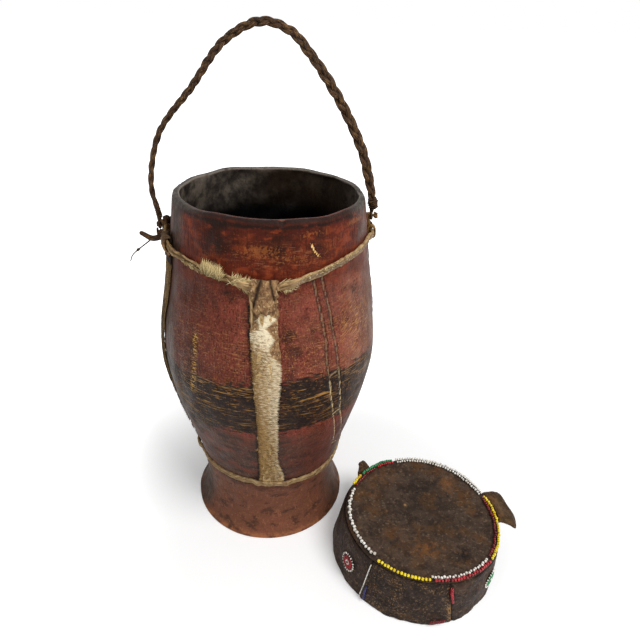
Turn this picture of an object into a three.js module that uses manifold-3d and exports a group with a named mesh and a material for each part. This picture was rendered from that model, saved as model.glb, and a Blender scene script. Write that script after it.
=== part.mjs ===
// A carved wooden container with a hide harness, a plaited carrying handle and a beaded leather cap.
// The cap lies beside the vessel with its open side down. Millimetres, +Z up, origin at the centre of
// the flat foot. The front of the vessel faces -Y, and the handle's two ties lie on -X and +X.
import * as THREE from 'three';
import { mergeVertices } from 'three/addons/utils/BufferGeometryUtils.js';
import Module from 'manifold-3d';

const wasm = await Module();
wasm.setup();

// Vessel sizes
const vesselHeight = 260;
const mouthRadius = 61;
const neckFootRadius = 66.6;
const neckLength = 42;
const bellyRadius = 75.5;
const bellyShare = 0.58;
const waistRadius = 52.3;
const waistHeight = 26;
const footRadius = 61;
const footFlare = 0.76;
const rimWall = 4.2;
const bellyWall = 7;
const lowerWall = 9;
const floorThickness = 22;
const floorCorner = 9;
const edgeBreak = 0.8;

// Harness sizes
const seatGap = 0.3;
const hideThickness = 1.2;
const neckBandDrop = 24.5;
const neckBandWidth = 5;
const neckBandThickness = 2;
const frontPull = 12;
const waistBandHeight = 55;
const waistBandWidth = 4.4;
const waistBandThickness = 2.4;
const waistBandTilt = 2.5;
const waistBandRise = 2.6;
const grooveDepth = 1.2;
const strapWidth = 15;
const strapNeckFlare = 1.1;
const strapWaistFlare = 1.13;
const strapSlim = 0.86;
const strapTail = 14;
const strapLip = 1;
const grooveEase = 0.35;
const strapAngles = { front: 0.5, right: 101, back: 186, left: -70 };
const strapFeet = { front: 3, right: 101, back: 186, left: -86 };

// Handle and tie sizes
const tieThong = 1.6;
const tieWidth = 4.8;
const wrapEase = 0.15;
const rightStemRise = 11;
const pinRadius = 0.9;
const pinClearance = 0.3;
const eyeRadius = 3.2;
const eyeThickness = 2;
const handleRise = 94;
const plaitWidthRight = 6;
const plaitWidthTop = 4.8;
const plaitWidthLeft = 2.6;
const plaitPitch = 4.5;
const socketDepth = 3;

// Cap sizes
const capX = 112.2;
const capY = -67.3;
const capClearance = 0.2;
const capLeather = 1.6;
const capHeight = 40;
const capTopRadius = 56.6;
const capLeanX = 2.7;
const capLeanY = -3;
const capOval = 1.2;
const capSag = 3;
const beadRadius = 0.95;
const beadRowPitch = 2.3;
const rosetteRadius = 7.2;
const rosetteHeight = 1.8;

const neckFootHeight = vesselHeight - neckLength;
const bellyHeight = vesselHeight * bellyShare;
const neckBandHeight = vesselHeight - neckBandDrop;
const capBaseRadius = mouthRadius + capClearance + capLeather;
const DEG = Math.PI / 180;

// Materials
const paint = (color, roughness) => new THREE.MeshStandardMaterial({ color, roughness, metalness: 0 });
const stainedWood = paint(0x5e3126, 0.7);
const rawhide = paint(0x8d7a5c, 0.8);
const hairHide = paint(0xb49f78, 0.9);
const darkHide = paint(0x4a3327, 0.75);
const handleHide = paint(0x5b432e, 0.7);
const thongHide = paint(0xa58452, 0.75);
const capHide = paint(0x3f302a, 0.75);
const earHide = paint(0x6b5645, 0.8);
const whiteBead = paint(0xe8e4da, 0.35);
const yellowBead = paint(0xe0b41e, 0.35);
const redBead = paint(0xb3202a, 0.35);
const darkRedBead = paint(0x6e1a1c, 0.35);
const greenBead = paint(0x1f7d43, 0.35);
const blueBead = paint(0x4c5a9c, 0.35);

const object = new THREE.Group();

// Turns a geometry into one indexed closed body whose faces point out.
function closeBody(source) {
  const plain = new THREE.BufferGeometry();
  plain.setAttribute('position', source.getAttribute('position').clone());
  if (source.index) plain.setIndex(source.index.clone());
  const merged = mergeVertices(plain, 1e-4);
  const p = merged.getAttribute('position');
  const index = [];
  let volume = 0;
  const a = new THREE.Vector3();
  const b = new THREE.Vector3();
  const c = new THREE.Vector3();
  for (let i = 0; i < merged.index.count; i += 3) {
    const t = [0, 1, 2].map((k) => merged.index.getX(i + k));
    if (t[0] === t[1] || t[1] === t[2] || t[2] === t[0]) continue;
    index.push(...t);
    a.fromBufferAttribute(p, t[0]);
    b.fromBufferAttribute(p, t[1]);
    c.fromBufferAttribute(p, t[2]);
    volume += a.dot(b.cross(c));
  }
  if (volume < 0) index.reverse();
  merged.setIndex(index);
  return merged;
}

function toSolid(geometry) {
  const body = closeBody(geometry);
  return new wasm.Manifold(new wasm.Mesh({
    numProp: 3,
    vertProperties: new Float32Array(body.getAttribute('position').array),
    triVerts: new Uint32Array(body.index.array),
  }));
}

function fromSolid(solid) {
  const mesh = solid.getMesh();
  const geometry = new THREE.BufferGeometry();
  geometry.setAttribute('position', new THREE.BufferAttribute(new Float32Array(mesh.vertProperties), 3));
  geometry.setIndex(Array.from(mesh.triVerts));
  return geometry;
}

function join(first, ...rest) {
  let solid = toSolid(first);
  for (const next of rest) solid = solid.add(toSolid(next));
  return fromSolid(solid);
}

function cut(first, ...tools) {
  let solid = toSolid(first);
  for (const tool of tools) solid = solid.subtract(toSolid(tool));
  return fromSolid(solid);
}

function add(name, geometry, material, parent = object) {
  const mesh = new THREE.Mesh(closeBody(geometry), material.clone());
  mesh.name = name;
  parent.add(mesh);
  return mesh;
}

// Skins a row of rings that have the same number of points, with a fan over each open end.
function loft(rings, closed = false) {
  const n = rings[0].length;
  const points = rings.flat();
  const index = [];
  const last = closed ? rings.length : rings.length - 1;
  for (let i = 0; i < last; i += 1) {
    for (let j = 0; j < n; j += 1) {
      const a = i * n + j;
      const b = i * n + ((j + 1) % n);
      const c = ((i + 1) % rings.length) * n + ((j + 1) % n);
      const d = ((i + 1) % rings.length) * n + j;
      index.push(a, b, c, a, c, d);
    }
  }
  if (!closed) {
    for (const [ring, start, flip] of [[rings[0], 0, true], [rings.at(-1), (rings.length - 1) * n, false]]) {
      const centre = new THREE.Vector3();
      for (const point of ring) centre.addScaledVector(point, 1 / n);
      points.push(centre);
      for (let j = 0; j < n; j += 1) {
        const edge = [start + j, start + ((j + 1) % n)];
        if (flip) edge.reverse();
        index.push(edge[0], edge[1], points.length - 1);
      }
    }
  }
  const geometry = new THREE.BufferGeometry().setFromPoints(points);
  geometry.setIndex(index);
  return geometry;
}

// A round rod along a curve, whose radius may change along it.
function rod(curve, radiusAt, steps, sides) {
  const frames = curve.computeFrenetFrames(steps, false);
  const rings = [];
  for (let i = 0; i <= steps; i += 1) {
    const centre = curve.getPointAt(i / steps);
    const radius = radiusAt(i / steps);
    const ring = [];
    for (let j = 0; j < sides; j += 1) {
      const a = (2 * Math.PI * j) / sides;
      ring.push(centre.clone()
        .addScaledVector(frames.normals[i], radius * Math.cos(a))
        .addScaledVector(frames.binormals[i], radius * Math.sin(a)));
    }
    rings.push(ring);
  }
  return loft(rings);
}

const clamp01 = (x) => Math.min(1, Math.max(0, x));
const smooth = (x) => clamp01(x) ** 2 * (3 - 2 * clamp01(x));
const mix = (a, b, t) => a + (b - a) * t;
const turn = (a) => ((((a + 180) % 360) + 360) % 360) - 180;

// A point at an angle from the front (-Y) towards +X.
function around(radius, angle, z) {
  return new THREE.Vector3(radius * Math.sin(angle * DEG), -radius * Math.cos(angle * DEG), z);
}

function hermite(z, z0, r0, m0, z1, r1, m1) {
  const d = z1 - z0;
  const t = (z - z0) / d;
  const rise = t * t * (3 - 2 * t);
  return r0 + (r1 - r0) * rise + d * (m0 * t * (1 - t) ** 2 - m1 * t * t * (1 - t));
}

// Outside of the wood: flared foot, waist, belly and tapered neck, with a groove for the waist band.
function plainProfile(s) {
  const taper = (mouthRadius - neckFootRadius) / (vesselHeight - neckFootHeight);
  if (s <= waistHeight) return hermite(s, 0, footRadius, -footFlare, waistHeight, waistRadius, 0);
  if (s <= bellyHeight) return hermite(s, waistHeight, waistRadius, 0, bellyHeight, bellyRadius, 0);
  if (s <= neckFootHeight) {
    return hermite(s, bellyHeight, bellyRadius, 0, neckFootHeight, neckFootRadius, taper);
  }
  return neckFootRadius + taper * (s - neckFootHeight);
}

const grooveHalf = waistBandWidth / 2 + seatGap;
const grooveRows = [-grooveHalf - 2.5, -grooveHalf, grooveHalf, grooveHalf + 1]
  .map((d) => waistBandHeight + d);

function profile(s) {
  const [low, floorLow, floorHigh, high] = grooveRows;
  if (s <= low || s >= high) return plainProfile(s);
  if (s < floorLow) return plainProfile(s) - grooveDepth * ((s - low) / (floorLow - low));
  if (s > floorHigh) return plainProfile(s) - grooveDepth * ((high - s) / (high - floorHigh));
  return plainProfile(s) - grooveDepth;
}

// The groove and its band run slightly uphill to the left and rise at the foot of the front strap, so rows
// near them are raised and lowered.
const tiltReach = 24;
const riseReach = 17;

function tilted(s, angle) {
  const share = smooth(1 - Math.abs(s - waistBandHeight) / tiltReach);
  const rise = waistBandRise * Math.exp(-((turn(angle - strapFeet.front) / riseReach) ** 2));
  return s + (rise - waistBandTilt * Math.sin(angle * DEG)) * share;
}

function woodRadius(z, angle) {
  let s = z;
  for (let k = 0; k < 12; k += 1) s += z - tilted(s, angle);
  return profile(Math.min(vesselHeight, Math.max(0, s)));
}

const rowStep = 10;

function wallRows() {
  const rows = [...grooveRows];
  const count = Math.round(vesselHeight / rowStep);
  for (let k = 1; k < count; k += 1) {
    const s = (vesselHeight * k) / count;
    if (s < grooveRows[0] - 3 || s > grooveRows.at(-1) + 3) rows.push(s);
  }
  return rows.sort((a, b) => a - b);
}

const rows = wallRows();

function wallAt(z) {
  if (z > bellyHeight) return mix(bellyWall, rimWall, (z - bellyHeight) / (vesselHeight - bellyHeight));
  return mix(lowerWall, bellyWall, clamp01((z - floorThickness) / (bellyHeight - floorThickness)));
}

function buildVessel() {
  const outline = [new THREE.Vector2(0, 0), new THREE.Vector2(footRadius - edgeBreak, 0)];
  outline.push(new THREE.Vector2(profile(edgeBreak), edgeBreak));
  for (const s of rows) outline.push(new THREE.Vector2(profile(s), s));
  const bore = mouthRadius - rimWall;
  outline.push(new THREE.Vector2(mouthRadius, vesselHeight - edgeBreak));
  outline.push(new THREE.Vector2(mouthRadius - edgeBreak, vesselHeight));
  outline.push(new THREE.Vector2(bore + edgeBreak, vesselHeight));
  outline.push(new THREE.Vector2(bore, vesselHeight - edgeBreak));
  const cornerTop = floorThickness + floorCorner;
  const inside = 11;
  for (let k = 1; k <= inside; k += 1) {
    const z = mix(vesselHeight - edgeBreak, cornerTop, k / inside);
    outline.push(new THREE.Vector2(plainProfile(z) - wallAt(z), z));
  }
  const cornerRadius = plainProfile(cornerTop) - wallAt(cornerTop);
  for (const a of [30, 60, 90]) {
    const x = cornerRadius - floorCorner * (1 - Math.cos(a * DEG));
    outline.push(new THREE.Vector2(x, cornerTop - floorCorner * Math.sin(a * DEG)));
  }
  outline.push(new THREE.Vector2(0, floorThickness));
  const lathe = new THREE.LatheGeometry(outline, 48);
  lathe.rotateX(Math.PI / 2);
  const p = lathe.getAttribute('position');
  for (let i = 0; i < p.count; i += 1) {
    const x = p.getX(i);
    const y = p.getY(i);
    const z = p.getZ(i);
    const outer = Math.hypot(x, y) > plainProfile(z) - grooveDepth - 1;
    if (outer) p.setZ(i, tilted(z, Math.atan2(x, -y) / DEG));
  }
  return lathe;
}

// The neck band sags where the straps pull on it, and rides up over what is tucked under it.
const sags = [
  { at: strapAngles.front, by: frontPull, left: 32, right: 24 },
  { at: strapAngles.right, by: frontPull / 5, left: 18, right: 18 },
  { at: strapAngles.back, by: frontPull / 2, left: 26, right: 26 },
  { at: strapAngles.left, by: frontPull / 6, left: 18, right: 18 },
];

function neckBandZ(angle) {
  let z = neckBandHeight;
  for (const sag of sags) {
    const d = turn(angle - sag.at);
    z -= sag.by * Math.exp(-((d / (d < 0 ? sag.left : sag.right)) ** 2));
  }
  return z;
}

const waistBandZ = (angle) => tilted(waistBandHeight, angle);
const bandLift = Math.max(hideThickness, tieThong) + seatGap;

function plateau(distance, half) {
  return smooth((half + 12 - distance) / 7.5);
}

function lift(angle, radius, ties) {
  const strapHalf = (strapWidth * Math.max(strapWaistFlare, strapNeckFlare)) / (2 * radius * DEG);
  const tieHalf = tieWidth / (2 * radius * DEG);
  let best = 0;
  for (const at of Object.values(ties ? strapAngles : strapFeet)) {
    best = Math.max(best, plateau(Math.abs(turn(angle - at)), strapHalf));
  }
  if (ties) {
    for (const at of [-90, 90]) best = Math.max(best, plateau(Math.abs(turn(angle - at)), tieHalf));
  }
  return (ties ? bandLift : bandLift + grooveEase) * best;
}

function band(heightAt, width, thickness, ties) {
  const h = width / 2;
  const section = [[-0.9 * h, 0], [0.9 * h, 0], [h, 0.5], [0.7 * h, 1], [-0.7 * h, 1], [-h, 0.5]];
  const steps = 72;
  const rings = [];
  for (let i = 0; i < steps; i += 1) {
    const angle = (360 * i) / steps;
    const zc = heightAt(angle);
    const off = seatGap + lift(angle, woodRadius(zc, angle), ties);
    rings.push(section.map(([u, v]) => {
      const r = woodRadius(zc + u, angle) + off + v * thickness;
      return around(r, angle, zc + u);
    }));
  }
  return loft(rings, true);
}

// A strap: a strip of hide whose end is folded down over the neck band and whose foot is caught under
// the waist band. It may slant, so its middle line turns from one angle to another on the way down. Each
// station is [height, offset from the wood, width, share that follows the band].
function strapWidthAt(z) {
  const up = (z - waistBandHeight) / (neckBandHeight - waistBandHeight);
  const ends = up > 0.5 ? strapNeckFlare : strapWaistFlare;
  const slim = mix(strapSlim, 1, smooth((up - 0.3) / 0.3));
  const flare = up > 0.5 ? smooth((up - 0.75) / 0.25) : smooth((0.22 - up) / 0.22);
  return strapWidth * mix(slim, ends, flare);
}

function strap(at, foot) {
  const zb = neckBandZ(at);
  const middle = (z) => mix(at, foot, clamp01((zb - z) / (zb - waistBandHeight)));
  const lowOff = seatGap + hideThickness / 2;
  const tailOff = lowOff + hideThickness + seatGap;
  const highOff = seatGap + bandLift + neckBandThickness + seatGap + hideThickness / 2;
  const foldRadius = (highOff - lowOff) / 2;
  const foldOff = (highOff + lowOff) / 2;
  const half = neckBandWidth / 2;
  const foldZ = zb + half - 0.2;
  const stations = [
    [zb - strapTail, tailOff, 0.62, 0],
    [zb - strapTail * 0.75, tailOff, 0.8, 0.3],
    [zb - half - 4, tailOff + 0.2, 0.95, 0.8],
    [zb - half - 1, highOff - 0.3, 1, 1],
    [zb - half + 0.5, highOff, 1, 1],
    [foldZ, highOff, 1, 1],
  ];
  for (const a of [36, 72, 108, 144]) {
    stations.push([foldZ + foldRadius * Math.sin(a * DEG), foldOff + foldRadius * Math.cos(a * DEG), 1, 1]);
  }
  stations.push([foldZ, lowOff, 1, 1]);
  const end = waistBandZ(foot) - waistBandWidth / 2 - strapLip;
  for (const s of rows.slice().reverse()) {
    const z = tilted(s, middle(s));
    if (z > foldZ - 1 || z < end + 1) continue;
    const atGroove = s > grooveRows[0] - 1 && s < grooveRows.at(-1) + rowStep;
    stations.push([z, lowOff + (atGroove ? grooveEase : 0), 1, smooth((z - zb + 22) / 20)]);
  }
  stations.push([end, lowOff, 1, 0]);
  const across = 4;
  const columns = [];
  for (let j = 0; j < across; j += 1) {
    const line = stations.map(([z, off, share, follow]) => {
      const r = woodRadius(z, middle(z)) + off;
      const angle = middle(z) + ((j / (across - 1) - 0.5) * strapWidthAt(z) * share) / (r * DEG);
      const dz = follow * (neckBandZ(angle) - zb) + tilted(z, angle) - tilted(z, middle(z));
      return { angle, z: z + dz, r: woodRadius(z + dz, angle) + off };
    });
    columns.push(line);
  }
  const rings = stations.map((_, i) => {
    const outer = [];
    const inner = [];
    for (const line of columns) {
      const before = line[Math.max(0, i - 1)];
      const after = line[Math.min(line.length - 1, i + 1)];
      const dr = after.r - before.r;
      const dz = after.z - before.z;
      const length = Math.hypot(dr, dz);
      const nr = (-dz / length) * (hideThickness / 2);
      const nz = (dr / length) * (hideThickness / 2);
      outer.push(around(line[i].r + nr, line[i].angle, line[i].z + nz));
      inner.push(around(line[i].r - nr, line[i].angle, line[i].z - nz));
    }
    return [...outer, ...inner.reverse()];
  });
  return loft(rings);
}

// Ties and pivots. Each tie is a thong wrapped round the neck band, with a toggle pin that an eye of
// the handle hangs on. The right tie has a stem that runs up the neck and carries its pin higher.
const tieStack = seatGap + tieThong + seatGap + neckBandThickness + seatGap + tieThong;
const leftTieZ = neckBandZ(-90);
const rightTieZ = neckBandZ(90);
const neckLean = Math.atan((neckFootRadius - mouthRadius) / (vesselHeight - neckFootHeight));
const alongNeck = new THREE.Matrix4().set(1, 0, -Math.tan(neckLean), 0, 0, 1, 0, 0, 0, 0, 1, 0, 0, 0, 0, 1);
const leftPinZ = leftTieZ;
const rightPinZ = rightTieZ + rightStemRise;
const leftFace = woodRadius(leftTieZ, -90) + tieStack;
const rightFace = woodRadius(rightPinZ, 90) + seatGap + tieThong;
const leftEyeGap = seatGap + eyeRadius * Math.sin(2 * neckLean) * 0.75;
const rightEyeGap = seatGap + 0.2;
const leftPivot = new THREE.Vector3(-(leftFace + leftEyeGap + eyeThickness / 2), 0, leftPinZ);
const rightPivot = new THREE.Vector3(rightFace + rightEyeGap + eyeThickness / 2, 0, rightPinZ);
const hingeAxis = rightPivot.clone().sub(leftPivot).normalize();
const hingeTurn = new THREE.Quaternion().setFromUnitVectors(new THREE.Vector3(0, 1, 0), hingeAxis);

// A cylinder whose axis is the hinge axis, centred at a place.
function onHinge(radius, length, centre, sides = 16) {
  return new THREE.CylinderGeometry(radius, radius, length, sides)
    .applyQuaternion(hingeTurn).translate(centre.x, centre.y, centre.z);
}

function roundedBox(shape, x0, x1, z0, z1, r) {
  shape.moveTo(x0 + r, z0);
  shape.lineTo(x1 - r, z0);
  shape.absarc(x1 - r, z0 + r, r, -Math.PI / 2, 0, false);
  shape.lineTo(x1, z1 - r);
  shape.absarc(x1 - r, z1 - r, r, 0, Math.PI / 2, false);
  shape.lineTo(x0 + r, z1);
  shape.absarc(x0 + r, z1 - r, r, Math.PI / 2, Math.PI, false);
  shape.lineTo(x0, z0 + r);
  shape.absarc(x0 + r, z0 + r, r, Math.PI, 1.5 * Math.PI, false);
  return shape;
}

// The wrapped thong, in a frame whose x runs out of the neck and whose z runs up it.
function wrap(side, z) {
  const half = neckBandWidth / 2 + seatGap + wrapEase;
  const shape = roundedBox(new THREE.Shape(), seatGap, tieStack, -half - tieThong, half + tieThong, 0.9);
  const innerX = seatGap + tieThong;
  shape.holes.push(roundedBox(new THREE.Path(), innerX, tieStack - tieThong, -half, half, 0.15));
  const ring = new THREE.ExtrudeGeometry(shape, { depth: tieWidth, bevelEnabled: false, curveSegments: 3 });
  ring.rotateX(Math.PI / 2).translate(0, tieWidth / 2, 0).applyMatrix4(alongNeck);
  if (side < 0) ring.rotateZ(Math.PI);
  return ring.translate(side * woodRadius(z, side * 90), 0, z);
}

function buildLeftTie() {
  const out = hingeAxis.clone().negate();
  const knobRadius = 2.4;
  const knob = leftPivot.clone().addScaledVector(out, eyeThickness / 2 + seatGap + knobRadius * 0.8);
  const pinLength = leftPivot.distanceTo(knob) + eyeThickness / 2 + leftEyeGap + tieThong / 2;
  const pinCentre = knob.clone().addScaledVector(out, -pinLength / 2);
  const ball = new THREE.SphereGeometry(knobRadius, 10, 7).scale(0.8, 1, 1.25);
  ball.translate(knob.x, knob.y, knob.z);
  const stub = new THREE.CatmullRomCurve3([
    knob.clone(),
    knob.clone().add(new THREE.Vector3(-0.4, -1, -6)),
    knob.clone().add(new THREE.Vector3(-2.6, -1.6, -8.6)),
    knob.clone().add(new THREE.Vector3(-8.4, -2, -5.6)),
  ]);
  const fibre = new THREE.CatmullRomCurve3([
    stub.getPointAt(0.5),
    knob.clone().add(new THREE.Vector3(-4.5, -1.4, -12.6)),
    knob.clone().add(new THREE.Vector3(-13.4, -1.6, -19.4)),
    knob.clone().add(new THREE.Vector3(-18.8, -1.6, -27.2)),
  ]);
  return join(
    wrap(-1, leftTieZ),
    onHinge(pinRadius, pinLength, pinCentre, 12),
    ball,
    rod(stub, (t) => mix(1.3, 0.95, t), 8, 6),
    rod(fibre, (t) => mix(0.5, 0.3, t), 7, 4),
  );
}

function buildRightTie() {
  const knobRadius = 2;
  const knob = rightPivot.clone().addScaledVector(hingeAxis, eyeThickness / 2 + seatGap + knobRadius * 0.8);
  const pinLength = rightPivot.distanceTo(knob) + eyeThickness / 2 + rightEyeGap + tieThong / 2;
  const pinCentre = knob.clone().addScaledVector(hingeAxis, -pinLength / 2);
  const ball = new THREE.SphereGeometry(knobRadius, 10, 7).scale(0.8, 1, 1.1);
  ball.translate(knob.x, knob.y, knob.z);
  const top = rightStemRise + pinRadius + 1;
  const stem = new THREE.BoxGeometry(tieThong, tieWidth * 0.55, top);
  stem.translate(seatGap + tieThong / 2, 0, top / 2).applyMatrix4(alongNeck);
  stem.translate(woodRadius(rightTieZ, 90), 0, rightTieZ);
  return join(wrap(1, rightTieZ), stem, onHinge(pinRadius, pinLength, pinCentre, 12), ball);
}

// The handle's arch, drawn in the plane of its two pivots. It leans to the left and its right leg
// stands close to the neck. Its ends rise out of the sockets of the two end pieces.
const leftKnotRise = 8.6;
const rightCollarRise = 8.5;
const apexZ = vesselHeight + handleRise;
const arch = new THREE.CatmullRomCurve3([
  [leftPivot.x - 0.2, leftPinZ + leftKnotRise],
  [leftPivot.x - 2.7, mix(leftPinZ, apexZ, 0.215)],
  [leftPivot.x * 0.925, mix(leftPinZ, apexZ, 0.48)],
  [leftPivot.x * 0.63, mix(leftPinZ, apexZ, 0.705)],
  [leftPivot.x * 0.34, mix(leftPinZ, apexZ, 0.92)],
  [leftPivot.x * 0.062, apexZ],
  [rightPivot.x * 0.165, mix(rightPinZ, apexZ, 0.963)],
  [rightPivot.x * 0.322, mix(rightPinZ, apexZ, 0.876)],
  [rightPivot.x * 0.61, mix(rightPinZ, apexZ, 0.65)],
  [rightPivot.x * 0.843, mix(rightPinZ, apexZ, 0.4)],
  [rightPivot.x * 0.968, mix(rightPinZ, apexZ, 0.17)],
  [rightPivot.x + 0.3, rightPinZ + rightCollarRise],
].map(([x, z]) => new THREE.Vector3(x, 0, z)), false, 'centripetal');

function plaitWidthAt(t) {
  if (t < 0.5) return mix(plaitWidthLeft, plaitWidthTop, smooth((t - 0.1) / 0.4));
  return mix(mix(plaitWidthTop, plaitWidthRight, smooth((t - 0.5) / 0.25)), plaitWidthRight * 0.74,
    smooth((t - 0.94) / 0.06));
}

// Where the plait's turns fall. A turn is a fixed number of widths long, so turns are tighter where the
// plait is narrow. The list gives the turns made up to each of its evenly spaced places.
const plaitLength = arch.getLength();
const turnsMade = [0];
const turnPlaces = 400;
for (let i = 0; i < turnPlaces; i += 1) {
  const pitch = plaitPitch * plaitWidthAt((i + 0.5) / turnPlaces);
  turnsMade.push(turnsMade[i] + plaitLength / turnPlaces / pitch);
}

function placeOfTurn(turns) {
  const after = Math.max(1, turnsMade.findIndex((made) => made >= turns - 1e-9));
  const share = (turns - turnsMade[after - 1]) / (turnsMade[after] - turnsMade[after - 1]);
  return clamp01((after - 1 + share) / turnPlaces);
}

// One of three interlaced strands. Across the plait a strand runs as sin(phase), and through it as
// sin(2 phase), a third of a turn behind the one before.
function strand(k) {
  const turns = turnsMade.at(-1);
  const steps = Math.round(turns * 11);
  const sides = 5;
  const flat = new THREE.Vector3(0, 1, 0);
  const centres = [];
  const places = [];
  for (let i = 0; i <= steps; i += 1) {
    const t = placeOfTurn((turns * i) / steps);
    places.push(t);
    const phase = 2 * Math.PI * ((turns * i) / steps + k / 3);
    const w = plaitWidthAt(t);
    const side = flat.clone().cross(arch.getTangentAt(t)).normalize();
    centres.push(arch.getPointAt(t)
      .addScaledVector(side, 0.34 * w * Math.sin(phase))
      .addScaledVector(flat, 0.235 * w * Math.sin(2 * phase)));
  }
  const rings = centres.map((centre, i) => {
    const along = centres[Math.min(steps, i + 1)].clone().sub(centres[Math.max(0, i - 1)]).normalize();
    const u = flat.clone().cross(along).normalize();
    const v = along.clone().cross(u).normalize();
    const radius = 0.16 * plaitWidthAt(places[i]);
    return Array.from({ length: sides }, (_, j) => {
      const a = (2 * Math.PI * j) / sides;
      return centre.clone().addScaledVector(u, radius * Math.cos(a)).addScaledVector(v, radius * Math.sin(a));
    });
  });
  return loft(rings);
}

// An end piece: an eye on the tie's pin, a neck, and a body with a socket that holds the plait's end.
function endPiece(pivot, t, rise, radii, material, name) {
  const floor = arch.getPointAt(t);
  const socketRadius = plaitWidthAt(t) / 2 + 1.5 * seatGap;
  const ball = new THREE.SphereGeometry(1, 12, 8).scale(radii[0], radii[1], radii[2]);
  ball.translate(floor.x, 0, floor.z);
  const neck = new THREE.CylinderGeometry(1.3, 1.3, rise - pinRadius - pinClearance - 1, 10);
  neck.rotateX(Math.PI / 2).translate(pivot.x, 0, pivot.z + (rise + pinRadius + pinClearance + 1) / 2);
  const body = join(onHinge(eyeRadius, eyeThickness, pivot), neck, ball);
  const bore = onHinge(pinRadius + pinClearance, 3 * eyeThickness, pivot, 12);
  const out = arch.getTangentAt(t).multiplyScalar(t > 0.5 ? -1 : 1);
  const socket = new THREE.CylinderGeometry(socketRadius, socketRadius, 4 * socketDepth, 14);
  socket.applyQuaternion(new THREE.Quaternion().setFromUnitVectors(new THREE.Vector3(0, 1, 0), out));
  const middle = floor.clone().addScaledVector(out, 2 * socketDepth - 3 * seatGap);
  socket.translate(middle.x, middle.y, middle.z);
  add(name, cut(body, bore, socket), material);
}

// Cap walls lean and taper towards the top, and the hem is slightly oval.
const cap = new THREE.Group();
cap.position.set(capX, capY, 0);
object.add(cap);

const capEdge = capTopRadius - 0.2;
const capDish = (r) => capHeight - capSag * (1 - (r / capEdge) ** 2);
const wallTop = capDish(capTopRadius - capLeather) - capLeather - seatGap;
const capRadius = (z) => mix(capBaseRadius, capTopRadius, z / capHeight);

function onCap(radius, azimuth, z) {
  const lean = z / capHeight;
  const oval = capOval * (1 - lean);
  return new THREE.Vector3(
    capLeanX * lean + (radius - oval) * Math.cos(azimuth * DEG),
    capLeanY * lean + (radius + oval) * Math.sin(azimuth * DEG),
    z,
  );
}

// Seams of the cap wall, as azimuths at the hem and at the top edge.
const seams = {
  frontLeft: [-138, -137],
  frontRight: [-76.2, -83],
  rightBack: [17, 17],
  backLeft: [131, 131],
};
const blueLine = [seams.frontLeft[0] + 3.8, seams.frontLeft[1]];

function panel(from, to) {
  const span = (k) => (to[k] - from[k] + 360) % 360;
  const steps = Math.max(6, Math.round(span(0) / 7));
  const gap = (z) => seatGap / 2 / (capRadius(z) * DEG);
  const corners = [[0, 0], [0, wallTop], [capLeather, wallTop], [capLeather, 0]];
  const rings = [];
  for (let i = 0; i <= steps; i += 1) {
    rings.push(corners.map(([depth, z]) => {
      const share = z / capHeight;
      const a = mix(from[0], from[1], share) + gap(z);
      const b = mix(from[0] + span(0), from[1] + span(1), share) - gap(z);
      return onCap(capRadius(z) - depth, mix(a, b, i / steps), z);
    }));
  }
  return loft(rings);
}

function capTop() {
  const steps = 3;
  const radii = Array.from({ length: steps + 1 }, (_, k) => (capEdge * k) / steps);
  const points = radii.map((r) => new THREE.Vector2(r, capDish(r) - capLeather));
  points.push(...radii.reverse().map((r) => new THREE.Vector2(r, capDish(r))));
  const lathe = new THREE.LatheGeometry(points, 36);
  return lathe.rotateX(Math.PI / 2).translate(capLeanX, capLeanY, 0);
}

// A string of beads as a plain rod: round the top edge, up a seam, or along the hem.
class CapLine extends THREE.Curve {
  constructor(pointAt) {
    super();
    this.pointAt = pointAt;
  }

  getPoint(t, target = new THREE.Vector3()) {
    return target.copy(this.pointAt(t));
  }
}

function beadRow(name, from, to, row, material) {
  const radius = capTopRadius - beadRadius - row * beadRowPitch;
  const z = capDish(radius + beadRadius) + seatGap + beadRadius;
  const span = (to - from + 360) % 360;
  const line = new CapLine((t) => {
    const point = onCap(radius, from + span * t, capHeight);
    point.z = z;
    return point;
  });
  add(name, rod(line, () => beadRadius, Math.max(3, Math.round(span / 8)), 5), material, cap);
}

function seamRow(name, seam, z0, z1, material) {
  const off = seatGap + beadRadius;
  const line = new CapLine((t) => {
    const z = mix(z0, z1, t);
    return onCap(capRadius(z) + off, mix(seam[0], seam[1], z / capHeight), z);
  });
  add(name, rod(line, () => beadRadius, 4, 5), material, cap);
}

function hemRow(name, from, to, z, material) {
  const line = new CapLine((t) => onCap(capRadius(z) + seatGap + beadRadius, mix(from, to, t), z));
  add(name, rod(line, () => beadRadius, 3, 5), material, cap);
}

function rosette(name, azimuth, z, material) {
  const disc = new THREE.CylinderGeometry(rosetteRadius * 0.72, rosetteRadius, rosetteHeight, 16);
  const slope = Math.atan((capBaseRadius - capTopRadius) / capHeight);
  const flatGap = (rosetteRadius ** 2) / (1.4 * capRadius(z));
  disc.rotateZ(-Math.PI / 2).rotateY(-slope).rotateZ(azimuth * DEG);
  const place = onCap(capRadius(z) + seatGap + rosetteHeight / 2 + flatGap, azimuth, z);
  add(name, disc.translate(place.x, place.y, place.z), material, cap);
}

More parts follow.
